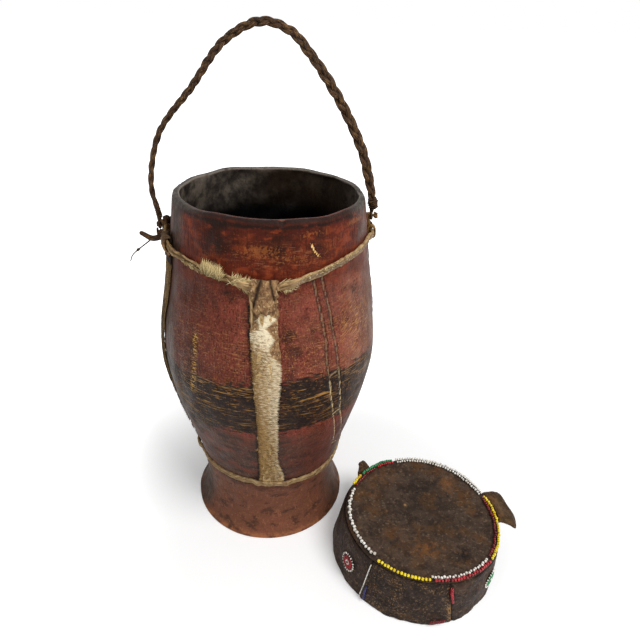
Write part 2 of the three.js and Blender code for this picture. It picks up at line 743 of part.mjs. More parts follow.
// An ear: a tab of leather sewn flat to the wall, which bends out below the top edge. Its tip is drawn
// sideways by the lean.
function ear(name, azimuth, width, reach, tipWidth, droop, lean, material) {
  const off = seatGap + capLeather / 2 + 0.1;
  const bendZ = wallTop - 3;
  const rootZ = bendZ - 9;
  const path = [
    [capRadius(rootZ) + off, rootZ, 0.85, 0],
    [capRadius(bendZ - 3) + off, bendZ - 3, 1, 0],
    [capRadius(bendZ) + off + 0.9, bendZ - 0.5, 1, 0],
    [capRadius(bendZ) + off + 3.2, bendZ + 0.6, 1, 0],
    [capRadius(bendZ) + off + reach * 0.6, bendZ + 0.6 - droop * 0.4, mix(1, tipWidth, 0.5), 0.5],
    [capRadius(bendZ) + off + reach, bendZ + 0.6 - droop, tipWidth, 1],
  ];
  const across = 5;
  const rings = path.map(([r, z, share, drawn], i) => {
    const before = path[Math.max(0, i - 1)];
    const after = path[Math.min(path.length - 1, i + 1)];
    const dr = after[0] - before[0];
    const dz = after[1] - before[1];
    const length = Math.hypot(dr, dz);
    const nr = (-dz / length) * (capLeather / 2);
    const nz = (dr / length) * (capLeather / 2);
    const outer = [];
    const inner = [];
    for (let j = 0; j < across; j += 1) {
      const x = (j / (across - 1) - 0.5) * width * share + lean * drawn;
      const a = azimuth + x / (capRadius(z) * DEG);
      outer.push(onCap(r + nr, a, z + nz));
      inner.push(onCap(r - nr, a, z - nz));
    }
    return [...outer, ...inner.reverse()];
  });
  add(name, loft(rings), material, cap);
}

// Vessel and harness
add('vessel_body', buildVessel(), stainedWood);
add('neck_band', band(neckBandZ, neckBandWidth, neckBandThickness, true), rawhide);
add('waist_band', band(waistBandZ, waistBandWidth, waistBandThickness, false), rawhide);
for (const [side, at] of Object.entries(strapAngles)) {
  add(`${side}_strap`, strap(at, strapFeet[side]), hairHide);
}
add('left_tie', buildLeftTie(), darkHide);
add('right_tie', buildRightTie(), thongHide);

// Handle
add('plait_strand_a', strand(0), handleHide);
add('plait_strand_b', strand(1), handleHide);
add('plait_strand_c', strand(2), handleHide);
endPiece(leftPivot, 0, leftKnotRise, [2.7, 2.9, 3.8], darkHide, 'left_end_knot');
endPiece(rightPivot, 1, rightCollarRise, [3.5, 3.6, 4.2], thongHide, 'right_end_thong');

// Cap
add('cap_top', capTop(), capHide, cap);
add('cap_front_panel', panel(seams.frontLeft, seams.frontRight), capHide, cap);
add('cap_right_panel', panel(seams.frontRight, seams.rightBack), capHide, cap);
add('cap_back_panel', panel(seams.rightBack, seams.backLeft), capHide, cap);
add('cap_left_panel', panel(seams.backLeft, seams.frontLeft), capHide, cap);
ear('right_ear', 8, 28, 17, 0.88, 3, -3, earHide);
ear('left_ear', 132, 12, 10, 0.35, 1, -6, earHide);

// Beads
beadRow('beads_yellow_front', -134.5, -96, 0, yellowBead);
beadRow('beads_red_front', -94, -48, 0, redBead);
beadRow('beads_yellow_right', -46, 16, 0, yellowBead);
beadRow('beads_white_back', 18, 103, 0, whiteBead);
beadRow('beads_green_back', 105, 137, 0, greenBead);
beadRow('beads_yellow_back', 139.5, 151, 0, yellowBead);
beadRow('beads_white_left', 154.5, 222, 1, whiteBead);
beadRow('beads_white_front', -96, -47.5, 1, whiteBead);
beadRow('beads_darkred_right', -45, 15, 1, darkRedBead);
beadRow('beads_white_inner', 18, 102, 1, whiteBead);
beadRow('beads_red_back', 105, 121.5, 1, redBead);
beadRow('beads_darkred_back', 124, 151.5, 1, darkRedBead);
seamRow('seam_beads_white', seams.frontLeft, 36, 4, whiteBead);
seamRow('seam_beads_blue', blueLine, 16, 3.5, blueBead);
seamRow('seam_beads_red', seams.frontRight, 37, 23, redBead);
hemRow('hem_beads_red', -91, -81.5, 4.2, redBead);
rosette('left_rosette', -155, 18, redBead);
rosette('right_rosette', -44, 21, greenBead);

export default object;
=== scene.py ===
"""Looks of a carved wooden container with a hide harness, a plaited handle and a beaded leather cap.

Shape functions work in millimetres, and build() turns them to metres. Angles on the vessel are degrees
from the front (-Y) towards +X, and angles on the cap are degrees from +X towards +Y.
"""

import math

import bpy
import numpy as np
from mathutils import Matrix


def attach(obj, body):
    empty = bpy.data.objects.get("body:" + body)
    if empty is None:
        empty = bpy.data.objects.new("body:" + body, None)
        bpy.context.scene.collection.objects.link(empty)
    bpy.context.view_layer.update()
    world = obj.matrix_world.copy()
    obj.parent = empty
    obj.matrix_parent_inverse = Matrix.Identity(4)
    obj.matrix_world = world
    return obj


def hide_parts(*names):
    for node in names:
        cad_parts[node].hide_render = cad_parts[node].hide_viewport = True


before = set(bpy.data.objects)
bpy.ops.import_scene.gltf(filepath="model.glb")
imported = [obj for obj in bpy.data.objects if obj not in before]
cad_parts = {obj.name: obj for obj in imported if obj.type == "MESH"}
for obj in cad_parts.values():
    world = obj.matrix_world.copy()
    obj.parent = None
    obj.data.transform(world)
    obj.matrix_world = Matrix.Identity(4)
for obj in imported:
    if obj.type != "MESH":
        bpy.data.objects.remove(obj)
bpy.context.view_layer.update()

# Vessel sizes
VESSEL_HEIGHT = 260
MOUTH_RADIUS = 61
NECK_FOOT_RADIUS = 66.6
NECK_FOOT_HEIGHT = 218
BELLY_RADIUS = 75.5
BELLY_HEIGHT = 150.8
WAIST_RADIUS = 52.3
WAIST_HEIGHT = 26
FOOT_RADIUS = 61
FOOT_FLARE = 0.76
RIM_WALL = 4.2
BELLY_WALL = 7
LOWER_WALL = 9
FLOOR_THICKNESS = 22
FLOOR_CORNER = 9
RIM_ROUND = 1.5
BORE_ROUND = 1.2

# Harness sizes
SEAT_GAP = 0.3
HIDE = 1.2
NECK_BAND_HEIGHT = 235.5
NECK_BAND_WIDTH = 5
NECK_BAND_THICKNESS = 2
FRONT_PULL = 12
WAIST_BAND_HEIGHT = 55
WAIST_BAND_WIDTH = 4.4
WAIST_BAND_THICKNESS = 2.4
WAIST_BAND_TILT = 2.5
WAIST_BAND_RISE = 2.6
GROOVE_DEPTH = 1.2
GROOVE_EASE = 0.35
STRAP_TAIL = 14
STRAP_WIDTH = 17
STRAP_ANGLES = {"front": 0.5, "right": 101, "back": 186, "left": -70}
STRAP_FEET = {"front": 3, "right": 101, "back": 186, "left": -86}
BAND_LIFT = 1.9
# Hairs on a strap: their least and greatest lengths and widths, and how many there are. The front one's hairs
# past EVEN_HAIRS are extra ones on its white patch, whose foot is at PATCH_FOOT.
HAIR_LENGTHS = (2.0, 3.6)
HAIR_WIDTHS = (0.22, 0.42)
TUFT_WIDTHS = (0.25, 0.55)
SIDE_HAIRS = 4200
FRONT_HAIRS = 15500
EVEN_HAIRS = 13500
PATCH_FOOT = 186

# Handle and tie sizes
TIE_THONG = 1.6
TIE_WIDTH = 4.8
TIE_ANGLES = (-90, 90)
RIGHT_STEM_RISE = 11
PIN_RADIUS = 0.9
EYE_RADIUS = 3.2
EYE_THICKNESS = 2
EYE_HOLE = 1.25
HANDLE_RISE = 94
PLAIT_WIDTHS = (2.6, 4.8, 6)
PLAIT_PITCH = 4.5
# The plait's left end is fuller than the frame's, and its pitch is longer there
LEFT_FULLNESS = 1.55
LEFT_STRETCH = 0.45
# A strand's half width, half depth and sway through the plait, as shares of the plait's width
STRAND_HALF_WIDTH = 0.275
STRAND_HALF_DEPTH = 0.165
STRAND_SWAY = 0.17
LEFT_KNOT_RISE = 8.6
RIGHT_COLLAR_RISE = 8.5

# Cap sizes
CAP_X = 112.2
CAP_Y = -67.3
CAP_LEATHER = 1.6
CAP_HEIGHT = 40
CAP_BASE_RADIUS = 62.8
CAP_TOP_RADIUS = 56.6
CAP_LEAN = (2.7, -3)
CAP_OVAL = 1.2
CAP_SAG = 3
BEAD_RADIUS = 0.95
BEAD_PITCH = 2.3

# Light, with places in metres: strength of the sky on the object, and of the paper's own glow near the
# object's middle, which grows from the near distance to the far one, and each lamp's name, place, aim, size
# and power
WHITE = (1, 1, 1, 1)
SKY_LIGHT = 0.42
PAPER_HALF = 40
PAPER_GREY = (0.85, 0.85, 0.85, 1)
PAPER_GLOW = 0.17
PAPER_MIDDLE = (0.06, -0.05, 0)
PAPER_NEAR, PAPER_FAR = 0.12, 0.3
LAMPS = (
    ("key", (0.62, -0.7, 1.35), (0.05, -0.03, 0.12), 0.8, 19),
    ("fill", (-1.1, -0.9, 0.9), (0.0, 0.0, 0.12), 1.0, 3),
)

# The photograph's camera: place in millimetres, turns in radians, lens and sensor in millimetres
CAMERA_PLACE = (11.745, -336.356, 357.370)
CAMERA_PITCH, CAMERA_YAW, CAMERA_ROLL = 0.5206, 0.0724, 0.052
CAMERA_LENS, CAMERA_SENSOR = 29.71, 36

MM = 0.001


# Numbers and directions

def smooth(x):
    """3x^2 - 2x^3, with x held between 0 and 1."""
    x = np.clip(x, 0, 1)
    return x * x * (3 - 2 * x)


def mix(a, b, t):
    """a + (b - a) t."""
    return a + (b - a) * t


def hill(x, half):
    """exp(-(x / half)^2), a rounded hill of height 1."""
    return np.exp(-(x / half) ** 2)


def turned(angle):
    """The angle brought between -180 and 180 degrees."""
    return (angle + 180) % 360 - 180


def around(radius, angle, z):
    """The point (r sin a, -r cos a, z) on the vessel."""
    a = np.radians(angle)
    return np.stack(np.broadcast_arrays(radius * np.sin(a), -radius * np.cos(a), z), -1).astype(float)


def outward(angle):
    """The level directions out of the vessel and to the right along it: (sin a, -cos a, 0), (cos a, sin a, 0)."""
    a = np.radians(angle)
    return np.stack([np.sin(a), -np.cos(a), 0 * a], -1), np.stack([np.cos(a), np.sin(a), 0 * a], -1)


def unit(v):
    """v divided by its length."""
    return v / np.maximum(np.linalg.norm(v, axis=-1, keepdims=True), 1e-9)


def travelled(path):
    """Distance along a path at each of its points: the summed lengths of the steps before it."""
    return np.concatenate([[0], np.cumsum(np.linalg.norm(np.diff(path, axis=0), axis=1))])


def plane(x, y):
    """Points (x, y) for waves(), with both brought to one shape."""
    return np.stack(np.broadcast_arrays(x, y), -1)


def waves(points, size, seed):
    """Uneven ground about 1 high: cosines of 26 plane waves about `size` long in random directions, summed."""
    count = 26
    rng = np.random.default_rng(seed)
    way = rng.normal(size=(points.shape[-1], count))
    way = way / np.linalg.norm(way, axis=0) * (2 * np.pi / size) * rng.uniform(0.6, 1.5, count)
    return np.cos(points @ way + rng.uniform(0, 2 * np.pi, count)).sum(-1) * math.sqrt(2 / count)


# Meshes

def net(rows, cols, close_rows, close_cols):
    """Four-sided faces between neighbours of a grid of rows x cols points, joined round where it closes."""
    last = rows if close_rows else rows - 1
    side = cols if close_cols else cols - 1
    i, j = np.meshgrid(np.arange(last), np.arange(side), indexing="ij")
    up, on = (i + 1) % rows, (j + 1) % cols
    return np.stack([i * cols + j, i * cols + on, up * cols + on, up * cols + j], -1).reshape(-1, 4)


def enclosed(points, faces):
    """Six times the volume inside the faces: the sum of a . (b x c) over each face's fan of triangles."""
    total = 0.0
    for f in faces:
        for k in range(1, f.shape[1] - 1):
            total += np.einsum("ij,ij->", points[f[:, 0]], np.cross(points[f[:, k]], points[f[:, k + 1]]))
    return total


def skin(grid, close_rows=False, finish=0, **values):
    """A closed body over a grid whose columns run round it, with flat ends unless its rows close too."""
    rows, cols = grid.shape[:2]
    points = grid.reshape(-1, 3)
    faces = [net(rows, cols, close_rows, True)]
    if not close_rows:
        faces += [np.arange(cols)[None, ::-1], np.arange((rows - 1) * cols, rows * cols)[None]]
    if enclosed(points - points.mean(0), faces) < 0:
        faces = [f[:, ::-1] for f in faces]
    kept = {}
    for key, value in values.items():
        value = np.broadcast_to(np.asarray(value, float), grid.shape if key == "lie" else grid.shape[:2])
        kept[key] = value.reshape(-1, 3) if key == "lie" else value.ravel()
    return {"points": points, "faces": faces, "finish": finish, "values": kept}


def build(name, parts, finishes, body, nodes):
    """One object made of parts: points in metres, faces, a finish for each part, and named values on points."""
    starts = np.cumsum([0] + [len(p["points"]) for p in parts])
    points = np.concatenate([p["points"] for p in parts]) * MM
    loops, counts, finish = [], [], []
    for part, start in zip(parts, starts):
        for f in part["faces"]:
            loops.append((f + start).ravel())
            counts.append(np.full(len(f), f.shape[1]))
            finish.append(np.full(len(f), part["finish"]))
    loops, counts, finish = np.concatenate(loops), np.concatenate(counts), np.concatenate(finish)
    mesh = bpy.data.meshes.new(name)
    mesh.vertices.add(len(points))
    mesh.vertices.foreach_set("co", points.ravel())
    mesh.loops.add(len(loops))
    mesh.loops.foreach_set("vertex_index", loops)
    mesh.polygons.add(len(counts))
    mesh.polygons.foreach_set("loop_start", np.concatenate([[0], np.cumsum(counts)[:-1]]))
    for made in finishes:
        mesh.materials.append(made)
    mesh.polygons.foreach_set("material_index", finish)
    mesh.update(calc_edges=True)
    mesh.shade_smooth()
    for key in sorted({k for p in parts for k in p["values"]}):
        kind, field, wide = ("FLOAT_VECTOR", "vector", [3]) if key == "lie" else ("FLOAT", "value", [])
        data = [p["values"].get(key, np.zeros([len(p["points"])] + wide)) for p in parts]
        mesh.attributes.new(key, kind, "POINT").data.foreach_set(field, np.concatenate(data).ravel())
    thing = bpy.data.objects.new(name, mesh)
    bpy.context.scene.collection.objects.link(thing)
    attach(thing, body)
    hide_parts(*nodes)


def tube(path, radius, sides, side_way, flat=1.0, finish=0, tone=0.5):
    """A round or flattened rod: rings of `sides` points about a path, each ring across the path's direction.
    side_way is a direction that the rings' first axis is square to, and flat shortens their second axis."""
    path = np.asarray(path, float)
    along = unit(np.gradient(path, axis=0))
    u = unit(np.cross(np.broadcast_to(side_way, path.shape), along))
    v = np.cross(along, u)
    a = 2 * np.pi * np.arange(sides) / sides
    radius = np.broadcast_to(radius, len(path))[:, None, None]
    across, through = np.cos(a)[None, :, None] * u[:, None], np.sin(a)[None, :, None] * v[:, None]
    grid = path[:, None] + radius * (across + flat * through)
    run = travelled(path)
    lie = np.stack(np.broadcast_arrays(radius[..., 0] * np.cos(a), radius[..., 0] * np.sin(a), run[:, None]), -1)
    return skin(grid, finish=finish, lie=lie, tone=tone)


def spline(points, count):
    """A centripetal Catmull-Rom curve through the points, as `count` points evenly spaced along it."""
    p = np.asarray(points, float)
    p = np.concatenate([[2 * p[0] - p[1]], p, [2 * p[-1] - p[-2]]])
    t = np.linspace(0, 1, 200, endpoint=False)[:, None]
    pieces = []
    for a, b, c, d in zip(p[:-3], p[1:-2], p[2:-1], p[3:]):
        ab, bc, cd = (np.linalg.norm(y - x) ** 0.5 for x, y in ((a, b), (b, c), (c, d)))
        m0 = ((b - a) / ab - (c - a) / (ab + bc) + (c - b) / bc) * bc
        m1 = ((c - b) / bc - (d - b) / (bc + cd) + (d - c) / cd) * bc
        pieces.append(b + m0 * t + (-3 * b + 3 * c - 2 * m0 - m1) * t**2 + (2 * b - 2 * c + m0 + m1) * t**3)
    fine = np.concatenate(pieces + [p[-2][None]])
    run = travelled(fine)
    at = np.linspace(0, run[-1], count)
    return np.stack([np.interp(at, run, fine[:, k]) for k in range(3)], -1)


def hairs(roots, out, lie, length, width, lift, tone, finish):
    """Tapered three-sided hairs. The middle of a hair stands lift x length off the skin and half along it,
    and the tip lies along it at the full length and 0.8 lift high."""
    n = len(roots)
    out, lie = unit(out), unit(lie - np.einsum("ij,ij->i", lie, out)[:, None] * out)
    side = np.cross(out, lie)
    a = 2 * np.pi * np.arange(3) / 3
    ring = np.cos(a)[None, :, None] * side[:, None] + 0.6 * np.sin(a)[None, :, None] * out[:, None]
    ring = ring * width[:, None, None] / 2
    mid = roots + lie * (0.5 * length)[:, None] + out * (lift * length)[:, None]
    tip = roots + lie * length[:, None] + out * (0.8 * lift * length)[:, None]
    points = np.concatenate([roots[:, None] + ring, mid[:, None] + 0.8 * ring, tip[:, None]], 1).reshape(-1, 3)
    base = 7 * np.arange(n)[:, None]
    quads = np.concatenate([base + np.array([k, (k + 1) % 3, 3 + (k + 1) % 3, 3 + k]) for k in range(3)])
    tris = np.concatenate([base + np.array([3 + k, 3 + (k + 1) % 3, 6]) for k in range(3)])
    return {
        "points": points, "faces": [quads, tris], "finish": finish,
        "values": {"tone": np.repeat(tone, 7), "along": np.tile([0, 0, 0, 0.5, 0.5, 0.5, 1.0], n)},
    }


# Finishes

def linear(colour):
    """An sRGB hex colour as linear red, green, blue and 1."""
    parts = [int(colour[k:k + 2], 16) / 255 for k in (1, 3, 5)]
    return (*[c / 12.92 if c <= 0.04045 else ((c + 0.055) / 1.055) ** 2.4 for c in parts], 1.0)


def put(tree, kind, fills=None, out=0, **settings):
    """Adds a node with its settings, fills or links its inputs by name or number, and gives one output."""
    made = tree.nodes.new("ShaderNode" + kind)
    for key, value in settings.items():
        setattr(made, key, value)
    for key, value in (fills or {}).items():
        if isinstance(value, bpy.types.NodeSocket):
            tree.links.new(value, made.inputs[key])
        else:
            made.inputs[key].default_value = value
    return made.outputs[out] if len(made.outputs) else None


def finish_of(name, roughness, ior, specular=0.12):
    """A new material with its shader, whose even values are set on the shader's own sockets."""
    made = bpy.data.materials.new(name)
    made.use_nodes = True
    shader = made.node_tree.nodes["Principled BSDF"]
    shader.inputs["Roughness"].default_value = roughness
    shader.inputs["IOR"].default_value = ior
    shader.inputs["Specular IOR Level"].default_value = specular
    return made, made.node_tree, shader


def places(tree, source="Object"):
    """Positions in millimetres: the object's own, or an attribute's that already holds millimetres."""
    if source == "Object":
        where = put(tree, "TexCoord", out="Object")
        return put(tree, "VectorMath", {0: where, 1: (1000, 1000, 1000)}, operation="MULTIPLY")
    return put(tree, "Attribute", out="Vector", attribute_name=source)


def spots(tree, where, size, low, high, seed, detail=4.0, rough=0.55, turn=(0, 0, 0), wander=0.0):
    """Uneven spots about `size` mm along each axis of a pattern that may be turned: 0 where its noise is below
    low, 1 above high, and the other way round where low is above high."""
    laid = put(tree, "Mapping", {"Vector": where, "Location": (31 * seed, 17 * seed, 23 * seed),
                                 "Rotation": turn, "Scale": size}, vector_type="TEXTURE")
    noise = put(tree, "TexNoise", {"Vector": laid, "Scale": 1.0, "Detail": detail, "Roughness": rough,
                                   "Distortion": wander}, "Fac")
    return put(tree, "MapRange", {"Value": noise, "From Min": low, "From Max": high}, "Result",
               interpolation_type="SMOOTHSTEP")


def product(tree, factors):
    """Factors multiplied: numbers, sockets, or names of values kept on the mesh."""
    share = None
    for factor in factors:
        if isinstance(factor, str):
            factor = put(tree, "Attribute", out="Fac", attribute_name=factor)
        if share is None:
            share = factor
        else:
            share = put(tree, "Math", {0: share, 1: factor}, operation="MULTIPLY")
    return share


def coats(tree, base, *layers):
    """Colours rubbed or painted over a base, one after another. Each layer is a colour and the factors of how
    much of it covers what lies below."""
    below = linear(base) if isinstance(base, str) else base
    for colour, *factors in layers:
        above = linear(colour) if isinstance(colour, str) else colour
        below = put(tree, "Mix", {0: product(tree, factors), 6: below, 7: above}, 2, data_type="RGBA")
    return below


def relieved(tree, shader, *layers):
    """Bumps laid on each other. Each layer is how far it stands in millimetres, or sinks where that is below
    nought, and the factors of its height."""
    normal = None
    for stand, *factors in layers:
        fills = {"Height": product(tree, factors), "Strength": 1.0, "Distance": abs(stand) * MM}
        if normal is not None:
            fills["Normal"] = normal
        normal = put(tree, "Bump", fills, "Normal", invert=stand < 0)
    tree.links.new(normal, shader.inputs["Normal"])


def stained_wood():
    """Carved hardwood, rubbed with red ochre and fat: dull red-brown, scratched down to yellow wood, with a
    black painted band and smoky grey inside. It is dusty grey towards the right side and the back, partly a
    painted sheen, and painted shade darkens its sides, the left one most, a line just under the rim and the
    inside lower down."""
    made, tree, shader = finish_of("stained_wood", 0.45, 1.5, 0.09)
    where = places(tree)
    base = coats(
        tree, "#58241a",
        ("#77362b", spots(tree, where, (26, 26, 22), 0.38, 0.62, 1, 5)),
        ("#964b3e", spots(tree, where, (3.6, 3.6, 4.5), 0.5, 0.72, 2, 6, 0.7), 0.65),
        # Pores and tool marks run up the wood, 1 mm apart and a few centimetres long
        ("#2e130d", spots(tree, where, (1.1, 1.1, 20), 0.5, 0.68, 3), 0.6),
        ("#a0614a", spots(tree, where, (0.9, 0.9, 12), 0.56, 0.7, 4), 0.35),
        # Fat and soot: clouds of a centimetre, and grit of a millimetre
        ("#2b130d", spots(tree, where, (11, 11, 9), 0.52, 0.68, 5, 6, 0.65), 0.55),
        ("#210f0a", spots(tree, where, (1.2, 1.2, 1.4), 0.52, 0.66, 6, 3), 0.7),
        ("#a9674f", spots(tree, where, (1.0, 1.0, 1.3), 0.55, 0.68, 26, 3), 0.45),
        ("#8d5a48", "pink", spots(tree, where, (9, 9, 9), 0.3, 0.7, 7), 0.65),
        # Painted shade, darker towards the left and right sides of the front
        ("#38170b", "dusk", 0.6),
        # The lower belly is duller, with dark and rusty clouds
        ("#4b362c", "low", 0.8),
        ("#2a211c", "low", spots(tree, where, (15, 15, 6), 0.48, 0.62, 8, 5), 0.75),
        ("#74382a", "low", spots(tree, where, (11, 11, 7), 0.53, 0.68, 9, 5), 0.6),
        ("#7c5a49", "low", spots(tree, where, (1.6, 1.6, 4), 0.57, 0.7, 10, 4), 0.5),
        ("#6b4533", "foot", 0.75),
        ("#33211a", "foot", spots(tree, where, (12, 12, 7), 0.5, 0.64, 11, 5), 0.75),
        ("#8f5b41", "foot", spots(tree, where, (2.2, 2.2, 3.4), 0.55, 0.7, 12, 4), 0.6),
        ("#99603c", "hem", spots(tree, where, (5, 5, 4), 0.35, 0.6, 13), 0.8),
        # The neck is darker, smoother and redder
        ("#501a0b", "neck", 0.88),
        ("#83381d", "neck", spots(tree, where, (7, 7, 4), 0.44, 0.66, 14, 5), 0.8),
        ("#2b0f08", "neck", spots(tree, where, (1.4, 1.4, 9), 0.5, 0.7, 15), 0.6),
        # Dark smudges, and a painted shadow along the front strap's left edge
        ("#1a0e0a", "smudge", spots(tree, where, (4, 4, 6), 0.34, 0.52, 16, 5, 0.65), 0.9),
        # Soot on the neck, and painted shade in a dark line just under the rim
        ("#170b06", "sooty", spots(tree, where, (7, 7, 3.4), 0.32, 0.5, 17, 6, 0.65), 0.95))
    # Scratches down to the yellow wood: rings 0.7 mm high, short ticks up and down, and flecks under 1 mm
    rings = spots(tree, where, (6, 6, 0.7), 0.56, 0.66, 20, 2, wander=0.4)
    ticks = spots(tree, where, (0.8, 0.8, 5), 0.59, 0.69, 21, 2)
    flecks = spots(tree, where, (0.9, 0.9, 0.9), 0.58, 0.68, 22, 2)
    patch = spots(tree, where, (12, 12, 9), 0.36, 0.6, 23)
    base = coats(
        tree, base,
        ("#ad744a", "worn", rings, patch, 0.75),
        ("#ad7656", "worn", ticks, patch, 0.3),
        ("#b9824c", "worn", flecks, 0.6),
        ("#c08c50", "slanted",
         spots(tree, where, (6, 1, 0.8), 0.53, 0.63, 24, 2, turn=(0, -0.4, 0.8), wander=0.3), 0.75))
    # The black band: its edges wander, and strokes along it are scraped back to the wood
    edge = put(tree, "Math", {0: spots(tree, where, (8, 8, 1.8), 0.2, 0.8, 30, 5), 1: 11.0, 2: -5.5},
               operation="MULTIPLY_ADD")
    edge = put(tree, "Math", {0: product(tree, ["band"]), 1: edge}, operation="ADD")
    inside = put(tree, "MapRange", {"Value": edge, "From Min": -0.8, "From Max": 1.2}, "Result")
    strokes = spots(tree, where, (15, 15, 0.95), 0.56, 0.61, 31, 3, wander=0.8)
    dashes = spots(tree, where, (3.2, 3.2, 0.8), 0.6, 0.66, 32, 2, wander=0.5)
    field = spots(tree, where, (26, 26, 4), 0.42, 0.54, 33, 2)
    black = coats(
        tree, "#15100d",
        ("#35271f", spots(tree, where, (5, 5, 2.6), 0.45, 0.72, 34, 5), 0.8),
        ("#57301f", spots(tree, where, (9, 9, 4), 0.58, 0.7, 35, 5), 0.5),
        ("#ab7d42", "scratched", strokes, field, 0.92),
        ("#a8773f", "scratched", dashes, 0.6))
    base = coats(
        tree, base,
        (black, inside, 0.97),
        ("#c79a52", "left_ticks",
         spots(tree, where, (3.0, 3.0, 0.9), 0.5, 0.58, 36, 3, wander=0.8), 0.95))
    # Ochre patches and the bright nick
    ragged = spots(tree, where, (1.3, 1.3, 1.7), 0.25, 0.75, 40, 4, 0.65)
    ragged = put(tree, "Math", {0: ragged, 1: 1.1, 2: -0.55}, operation="MULTIPLY_ADD")
    ochre = put(tree, "Math", {0: product(tree, ["ochre"]), 1: ragged}, operation="ADD")
    ochre = put(tree, "MapRange", {"Value": ochre, "From Min": 0.42, "From Max": 0.78}, "Result")
    nick = put(tree, "Math", {0: product(tree, ["nick"]), 1: product(tree, [ragged, 0.6])}, operation="ADD")
    nick = put(tree, "MapRange", {"Value": nick, "From Min": 0.35, "From Max": 0.6}, "Result")
    base = coats(tree, base, ("#94552a", ochre, 0.52), ("#efc07a", nick))
    # The two cut lines of the ladder and its rungs: dark edges and a pale bottom
    stray = put(tree, "Math", {0: spots(tree, where, (1.7, 1.7, 2.2), 0.2, 0.8, 41, 3), 1: 0.9, 2: -0.45},
                operation="MULTIPLY_ADD")
    cut = put(tree, "Math", {0: product(tree, ["ladder"]), 1: stray}, operation="ADD")
    wide = put(tree, "MapRange", {"Value": cut, "From Min": 1.7, "From Max": 1.0}, "Result")
    fine = put(tree, "MapRange", {"Value": cut, "From Min": 0.75, "From Max": 0.35}, "Result")
    broken = spots(tree, where, (1.5, 1.5, 2.2), 0.3, 0.44, 42, 3)
    base = coats(
        tree, base,
        ("#1f130e", "ladder_dark", wide, spots(tree, where, (1.6, 1.6, 2.4), 0.38, 0.54, 49, 3), 0.72),
        ("#c2aa82", "ladder_pale", fine, broken))
    base = coats(
        tree, base,
        # Dust and painted sheen at the right and back, painted shade on the left, the worn rim and the smoky
        # inside
        ("#4d3a2e", "dust", spots(tree, where, (18, 18, 26), 0.2, 0.6, 43), 0.8),
        # Painted shade on the left side, flecked with ash grey
        ("#30241c", "ash", spots(tree, where, (16, 16, 24), 0.2, 0.55, 47), 0.92),
        ("#56483c", "ash", spots(tree, where, (2.2, 2.2, 9), 0.5, 0.66, 48, 4), 0.55),
        ("#211a16", "dust", spots(tree, where, (6, 6, 14), 0.5, 0.66, 44, 5), 0.5),
        ("#1d1714", "rim_dark"),
        ("#4b443e", "rim"),
        ("#2b2622", "rim", spots(tree, where, (5, 5, 3), 0.42, 0.62, 45, 5), 0.8),
        ("#756d64", "rim_line", spots(tree, where, (6, 6, 6), 0.25, 0.5, 46, 4)))
    # The inside: smoky soot, with painted shade darker and browner at the right back and nearly black lower down
    soot = coats(
        tree, "#302a26",
        ("#645a50", spots(tree, where, (14, 14, 16), 0.4, 0.64, 50, 6, 0.62)),
        ("#26190f", "inner_brown", 0.85),
        ("#171310", spots(tree, where, (5, 5, 7), 0.5, 0.68, 51, 5, 0.65), 0.6),
        ("#020202", "deep"))
    base = coats(tree, base, (soot, "inside"))
    tree.links.new(base, shader.inputs["Base Color"])
    gloss = put(tree, "MapRange", {"Value": spots(tree, where, (10, 10, 10), 0.3, 0.7, 60, 5),
                                   "To Min": 0.4, "To Max": 0.62}, "Result")
    tree.links.new(gloss, shader.inputs["Roughness"])
    relieved(
        tree, shader,
        (0.5, spots(tree, where, (6, 6, 14), 0.2, 0.8, 61)),
        (0.12, spots(tree, where, (1.0, 1.0, 12), 0.3, 0.7, 62, 3)),
        (0.1, spots(tree, where, (1.3, 1.3, 1.3), 0.3, 0.7, 63, 3)),
        (-0.15, "worn", rings, patch),
        (-0.2, "scratched", strokes, inside),
        (-0.5, nick),
        (-0.6, wide))
    return made


def rawhide(name, dark, mid, pale):
    """Dried hide strip: stiff and matt, mottled, with creases and fibres along it about 0.8 mm apart, and grey
    and speckled where it is dirty. Painted shade darkens the fold along its middle, and a painted highlight
    pales the upper edge of the neck band's right part."""
    made, tree, shader = finish_of(name, 0.72, 1.45)
    where = places(tree, "lie")
    streak, dirt_and_shade = (0.8, 0.8, 9), "#33241a"
    base = coats(
        tree, mid,
        (pale, spots(tree, where, (2.0, 2.0, 5), 0.46, 0.68, 3, 5)),
        (dark, spots(tree, where, streak, 0.48, 0.66, 7), 0.85),
        (dirt_and_shade, spots(tree, where, (1.5, 1.5, 2.6), 0.54, 0.68, 11), 0.75),
        # Random paler places, and a painted highlight along the upper edge of the neck band's right part
        (pale, "tone", 0.5),
        ("#735f4d", "grey", spots(tree, where, (1.2, 1.2, 5), 0.3, 0.55, 12)),
        ("#3f3023", "grey", spots(tree, where, (0.9, 0.9, 1.6), 0.54, 0.64, 14, 3), 0.7),
        ("#d8c8a8", "grey", spots(tree, where, (0.7, 0.7, 1.0), 0.58, 0.66, 15, 3), 0.8),
        # Painted shade in the fold along the strip's middle
        (dirt_and_shade, "shade"))
    tree.links.new(base, shader.inputs["Base Color"])
    relieved(
        tree, shader,
        (0.4, spots(tree, where, (2.5, 2.5, 5), 0.2, 0.8, 13)),
        (0.2, spots(tree, where, streak, 0.25, 0.75, 17)))
    return made


